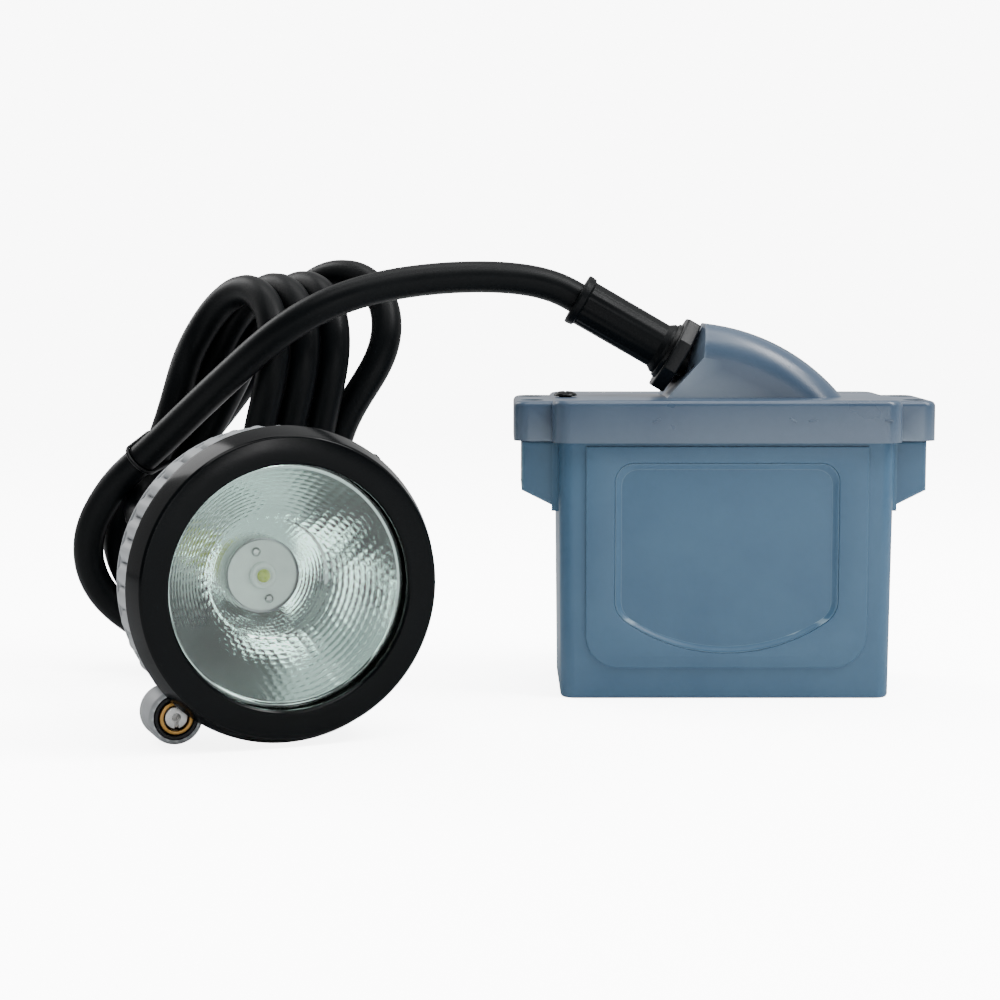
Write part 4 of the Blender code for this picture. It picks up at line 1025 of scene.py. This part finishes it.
def build_battery_fittings():
    for end, depth_word in ((-1, "front"), (1, "back")):
        for side, side_word in ((-1, "left"), (1, "right")):
            where = place_at(side * SCREW_X, end * SCREW_Y)
            add_screw("lid_screw", f"{depth_word}_{side_word}", 2.8, 76.0, 78.6, 1.45, 58.0, where)
    dome = [(0, 81.3), (1.7, 81.15), (2.9, 80.55), (3.3, 79.9), (1.7, 79.9), (1.7, 76.4), (0, 76.4)]
    plug = turned(rounded(dome, 0.4), place_at(*PLUG_PLACE), 64)
    vents = [
        block((-0.25, -2.2, 80.9), (0.25, 2.2, 83.0), place_at(*PLUG_PLACE) @ turn(angle, "Z"))
        for angle in (0, 60, 120)
    ]
    add_piece("vent_plug_cap", carved(plug, vents), "black_plastic", ["vent_plug"])
    foot, plate = CASE_HALF_DEPTH + 0.3, LOOP_BACK - 2.5
    flange, low_end, high_end = foot + 2.2, LOOP_LOW - 6.0, LOOP_HIGH + 6.5
    outline = [(foot, low_end), (flange, low_end), (flange, LOOP_LOW), (LOOP_BACK, LOOP_LOW)]
    outline += [(LOOP_BACK, LOOP_HIGH), (flange, LOOP_HIGH), (flange, high_end), (foot, high_end)]
    outline += [(foot, LOOP_HIGH - 2.5), (plate, LOOP_HIGH - 2.5)]
    outline += [(plate, LOOP_LOW + 2.5), (foot, LOOP_LOW + 2.5)]
    loop = [end_prism([outline], -LOOP_HALF_WIDTH, LOOP_HALF_WIDTH, 0.6)]
    for x in (-10.0, -5.0, 0.0, 5.0, 10.0):
        rib = [(x + dx, 16.0 + dz if dz < 0 else 52.0 + dz) for dx, dz in polygon(0.9, 20)]
        loop.append(side_prism([rib], LOOP_BACK - 0.5, LOOP_BACK + 0.5, 0.3))
    add_piece("belt_loop_body", gathered(loop), "case_blue", ["belt_loop"])
    face = foot + 2.5
    for words, height in LOOP_SCREWS.items():
        where = place_at(0.0, 0.0, height) @ turn(-90, "X")
        add_screw("loop_screw", words, 2.4, face, face + 1.0, 1.4, 21.4, where, 0.5, 1.1)


# ---- lamp head


GRIP_START = 8.2
GRIP_END = 20.4
SWITCH_PLACE = HEAD @ place_at(0.0, SWITCH_DEPTH, 0.0) @ turn(90.0 - SWITCH_ANGLE, "Y")


def scallop(angle, radius, height):
    """The grip band: forty shallow ribs with narrow notches between them."""
    if radius < 36.0 or not GRIP_START < -height < GRIP_END:
        return 0.0, 0.0
    fade = min(1.0, (-height - GRIP_START) / 1.2, (GRIP_END + height) / 1.2)
    rib = abs(math.sin(20.0 * angle)) ** 0.55
    return (1.9 * rib - 1.0) * fade, 0.0


def build_housing():
    inner = [(0, 41.6), (18.5, 41.6), (26.5, 36.0), (31.6, 27.5), (31.6, 17.3), (35.3, 17.3)]
    rim = [(35.3, 8.1), (35.6, 7.8), (36.4, 7.8)]
    band = [(36.7, GRIP_START + 0.61 * step) for step in range(21)]
    dome = [(36.7, 20.9), (36.0, 23.0), (33.6, 30.5), (29.0, 37.6), (24.5, 41.6), (20.0, 44), (0, 44)]
    profile = rounded(inner, 0.5, 3) + rim + band + rounded(dome, 2.0, 6)
    shell = head_turned(profile, steps=480, wave=scallop)
    x, z = LUG_PLACE
    lug = head_turned(rounded([(0, 11.2), (6.6, 11.2), (6.6, 22.0), (0, 26.0)], 0.7), x, z, 80)
    trim = head_turned(rod(36.1, 0, 40), steps=120)
    lug = carved(lug, [trim, head_turned(rod(5.5, 5, 19.0), x, z, 64)])
    boss = turned(rounded([(0, 35.8), (7.6, 35.8), (8.2, 30.4), (0, 30.4)], 0.6), SWITCH_PLACE, 72)
    seat = [(0, 40), (3.3, 40), (3.3, 34.4), (2.0, 34.4), (2.0, 24), (0, 24)]
    boss = carved(boss, [turned(seat, SWITCH_PLACE, 48)])
    shell = carved(shell, [turned(rod(2.6, 40, 24), SWITCH_PLACE, 32)])
    gland = head_turned(rounded([(0, 43), (7.6, 43), (7.2, 45.5), (0, 45.5)], 0.5), *HEAD_GLAND, 64)
    seam = head_turned(rounded([(36.2, 21.5), (37.0, 21.5), (37.0, 22.6), (36.0, 22.6)], 0.4), steps=160)
    pad = rounded([(0, 43.5), (3.6, 43.5), (3.4, 44.2), (0, 44.2)], 0.2)
    pads = [head_turned(pad, HOOK_SCREW_X, height, 40) for height in HOOK_SCREWS.values()]
    shells = gathered([shell, lug, boss, gland, seam] + pads)
    add_piece("rear_housing_shell", shells, "housing_grey", ["rear_housing"])


def build_bezel():
    face = [(29.4, LIP_THICK), (29.4, 0.5), (29.9, 0.0), (35.9, 0.0), (36.4, 0.5), (38.1, 5.6)]
    flank = [(38.3, 6.3), (38.2, 6.9), (37.6, 7.4), (34.9, 7.4)]
    skirt = [(34.9, 14.8), (32.5, 14.8), (32.5, LIP_THICK)]
    profile = rounded(face + flank + skirt + face[:1], 0.45)
    add_piece("bezel_ring_body", head_turned(profile[:-1], steps=240), "bezel_black", ["bezel_ring"])


def bowl_depth(radius):
    """Depth of the bowl's bright side, which falls a little more slowly towards the middle."""
    share = max(0.0, (radius - CONE_RADIUS) / (BOWL_RADIUS - CONE_RADIUS))
    return CONE_DEPTH - (CONE_DEPTH - RIM_DEPTH) * share**1.15


def bowl_facets(angle, radius, height):
    """Rows of small pressed facets on the bowl, and a finer knurl on the cone round the LED."""
    on_bowl = radius > CONE_RADIUS
    front = bowl_depth(radius) if on_bowl else CONE_DEPTH + (CONE_RADIUS - radius) * 0.87
    if not 9.5 < radius < BOWL_FACETS[0] or -height > front + 0.3:
        return 0.0, 0.0
    outer, pitch, width, depth = BOWL_FACETS if on_bowl else CONE_FACETS
    row = int((outer - radius) / pitch)
    across = (outer - radius) / pitch - row
    count = round(2 * math.pi * (outer - pitch * (row + 0.5)) / width)
    along = (angle * count / (2 * math.pi) + 0.5 * (row % 2)) % 1.0
    return 0.0, depth * math.sin(math.pi * across) * math.sin(math.pi * along)


def build_optics():
    pane = [(0, 3.2), (31.9, 3.2), (32.2, 3.5), (32.2, 5.1), (31.9, 5.4), (0, 5.4)]
    add_piece("front_glass_pane", head_turned(pane, steps=160), "glass", ["front_glass"])
    rim = [(32.2, 6.8), (32.2, 5.9), (29.3, 5.9), (29.0, 5.6), (28.6, 5.6), (28.25, RIM_DEPTH)]
    radii = [BOWL_RADIUS - 0.095 * step for step in range(144)]
    bright = [(radius, bowl_depth(radius)) for radius in radii]
    cone = [(CONE_RADIUS - 0.1 * step, CONE_DEPTH + 0.087 * step) for step in range(1, 51)]
    dull = [(9.3, 26.0), (10.3, 26.0), (14.9, CONE_DEPTH + 0.9)]
    dull += [(radius + 0.4, bowl_depth(radius) + 0.8) for radius in (19.0, 23.6)] + [(28.7, 6.8)]
    profile = rounded(rim, 0.25) + bright + cone + dull
    bowl = head_turned(profile, steps=512, sharp=60.0, wave=bowl_facets)
    add_piece("reflector_bowl", bowl, "reflector", ["reflector"])
    hole = rod(0.9, BOARD_DEPTH - 3.0, BOARD_DEPTH + 3.5)
    holes = [head_turned(hole, x, z, 24) for x, z in BOARD_SCREWS.values()]
    plate = rounded(rod(8.8, BOARD_DEPTH, BOARD_DEPTH + 1.2), 0.15)
    add_piece("led_board_disc", carved(head_turned(plate), holes), "white_board", ["led_board"])
    for words, (x, z) in BOARD_SCREWS.items():
        where = HEAD @ place_at(x, 0.0, z) @ turn(90, "X")
        low, high, tip = 0.3 - BOARD_DEPTH, 0.9 - BOARD_DEPTH, -3.0 - BOARD_DEPTH
        add_screw("board_screw", words, 1.15, low, high, 0.6, tip, where, 0.1, 0.4)
    body = [(0, -1.4), (1.9, -1.4), (2.2, -1.7), (2.9, -1.7), (3.35, -1.2), (3.35, -0.3), (0, -0.3)]
    body = [(radius, BOARD_DEPTH + depth) for radius, depth in rounded(body, 0.15)]
    cup = new_object("led_cup", head_turned(body, steps=72))
    cup.data.materials.append(LOOKS["white_board"])
    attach(cup, "lamp")
    base = BOARD_DEPTH - 1.5
    angles = [math.radians(6 * step) for step in range(16)]
    dome = [(1.7 * math.sin(angle), base - 1.1 * math.cos(angle)) for angle in angles]
    add_piece("led_dome", head_turned(dome + [(0, base)], steps=48), "phosphor", ["led_emitter"])


def knurl(angle, radius, height):
    """Twenty-four grooves round the knob."""
    grooved = radius > 6.0 and height < 40.4
    return (-0.22 * (0.5 + 0.5 * math.cos(24 * angle)) if grooved else 0.0), 0.0


def build_switch():
    profile = [(0, 41.6), (5.4, 41.6), (6.2, 40.6), (6.4, 36.2), (1.9, 36.2), (1.9, 38.5), (0, 38.5)]
    knob = turned(rounded(profile, 0.5), SWITCH_PLACE, 192, wave=knurl)
    cutters = [block((x - 2.6, -9.0, 39.2), (x + 2.6, 9.0, 44.0), SWITCH_PLACE) for x in (-4.4, 4.4)]
    cutters.append(block((-0.35, -5.6, 41.3), (0.35, -1.5, 43.0), SWITCH_PLACE))
    add_piece("switch_knob_cap", carved(knob, cutters), "black_plastic", ["switch_knob"], "switch")


def build_charging_socket():
    x, z = LUG_PLACE
    insert = [(5.2, 11.0), (5.2, 18.6), (3.4, 18.6), (3.4, 14.5), (4.4, 14.5), (4.4, 11.0), (5.2, 11.0)]
    insert = rounded(insert, 0.2, 3)[:-1]
    add_piece("charge_insert_ring", head_turned(insert, x, z, 72), "black_plastic", ["charge_insert"])
    bush = rounded([(4.1, 14.2), (4.1, 10.7), (3.1, 10.7), (3.1, 14.2), (4.1, 14.2)], 0.25, 3)[:-1]
    add_piece("charge_bush_ring", head_turned(bush, x, z, 72), "brass", ["charge_bush"])
    key = head_turned(rounded(rod(2.8, 11.1, 18.2), 0.3), x, z, 64)
    slot = block((-0.55, 9.0, -4.0), (0.55, 13.4, 0.4), HEAD @ place_at(x, 0.0, z))
    contact = carved(key, [slot, head_turned(rod(1.1, 9, 15), x, z, 32)])
    add_piece("charge_key_contact", contact, "steel", ["charge_key"], "charging_contact")


def build_helmet_hook():
    near, far, sheet = 44.3, 49.9, 1.2
    top = -0.6
    inner_top = top - sheet
    outline = [(near, -17.0), (near + sheet, -17.0), (near + sheet, inner_top), (far - sheet, inner_top)]
    outline += [(far - sheet, -16.0), (far + 0.8, -18.5), (far + 1.8, -17.8), (far, -14.5)]
    outline += [(far, top), (near, top)]
    hook = end_prism([outline], -3.0, 13.0, 0.28, HEAD)
    way = [(0, 40), (1.5, 40), (1.5, 47), (2.6, 47), (2.6, 52), (0, 52)]
    ways = [head_turned(way, HOOK_SCREW_X, height, 40) for height in HOOK_SCREWS.values()]
    add_piece("helmet_hook_spring", carved(hook, ways), "steel", ["helmet_hook"])
    for words, height in HOOK_SCREWS.items():
        where = HEAD @ place_at(HOOK_SCREW_X, 0.0, height) @ turn(-90, "X")
        add_screw("hook_screw", words, 2.2, 45.8, 46.8, 1.2, 41.0, where, 0.2, 0.8)


def build_head_gland():
    x, z = HEAD_GLAND
    low = 45.8
    outlines = [polygon(6.6, 6), polygon(4.4, 40)]
    nut = side_prism(outlines, low, low + 3.5, 0.4, HEAD @ place_at(x, 0.0, z))
    add_piece("head_gland_nut_body", nut, "black_plastic", ["head_gland_nut"])
    start = low + 3.8
    sleeve = [(4.35, 41.0), (4.4, start), (5.9, start), (5.9, start + 2.0)]
    for rib in range(4):
        base = start + 4.0 + 3.4 * rib
        crest = 5.75 - 0.1 * rib
        groove = crest - 0.45
        sleeve += [(crest, base), (groove, base + 0.5), (groove, base + 1.1), (crest - 0.05, base + 1.6)]
    sleeve = head_turned(rounded(sleeve + [(5.2, 69.6), (4.35, 69.6)], 0.35), x, z, 64)
    add_piece("head_strain_relief_sleeve", sleeve, "black_rubber", ["head_strain_relief"])


build_cord()
build_case()
build_lid()
build_gland()
build_battery_fittings()
build_housing()
build_bezel()
build_optics()
build_switch()
build_charging_socket()
build_helmet_hook()
build_head_gland()

SLOT_OF = {row["node"]: row["material_slot"] for row in frame["record"]["subparts"]}
for name, node in frame["nodes"].items():
    if not node.hide_render:
        node.data.materials.clear()
        node.data.materials.append(LOOKS[SLOT_OF[name]])
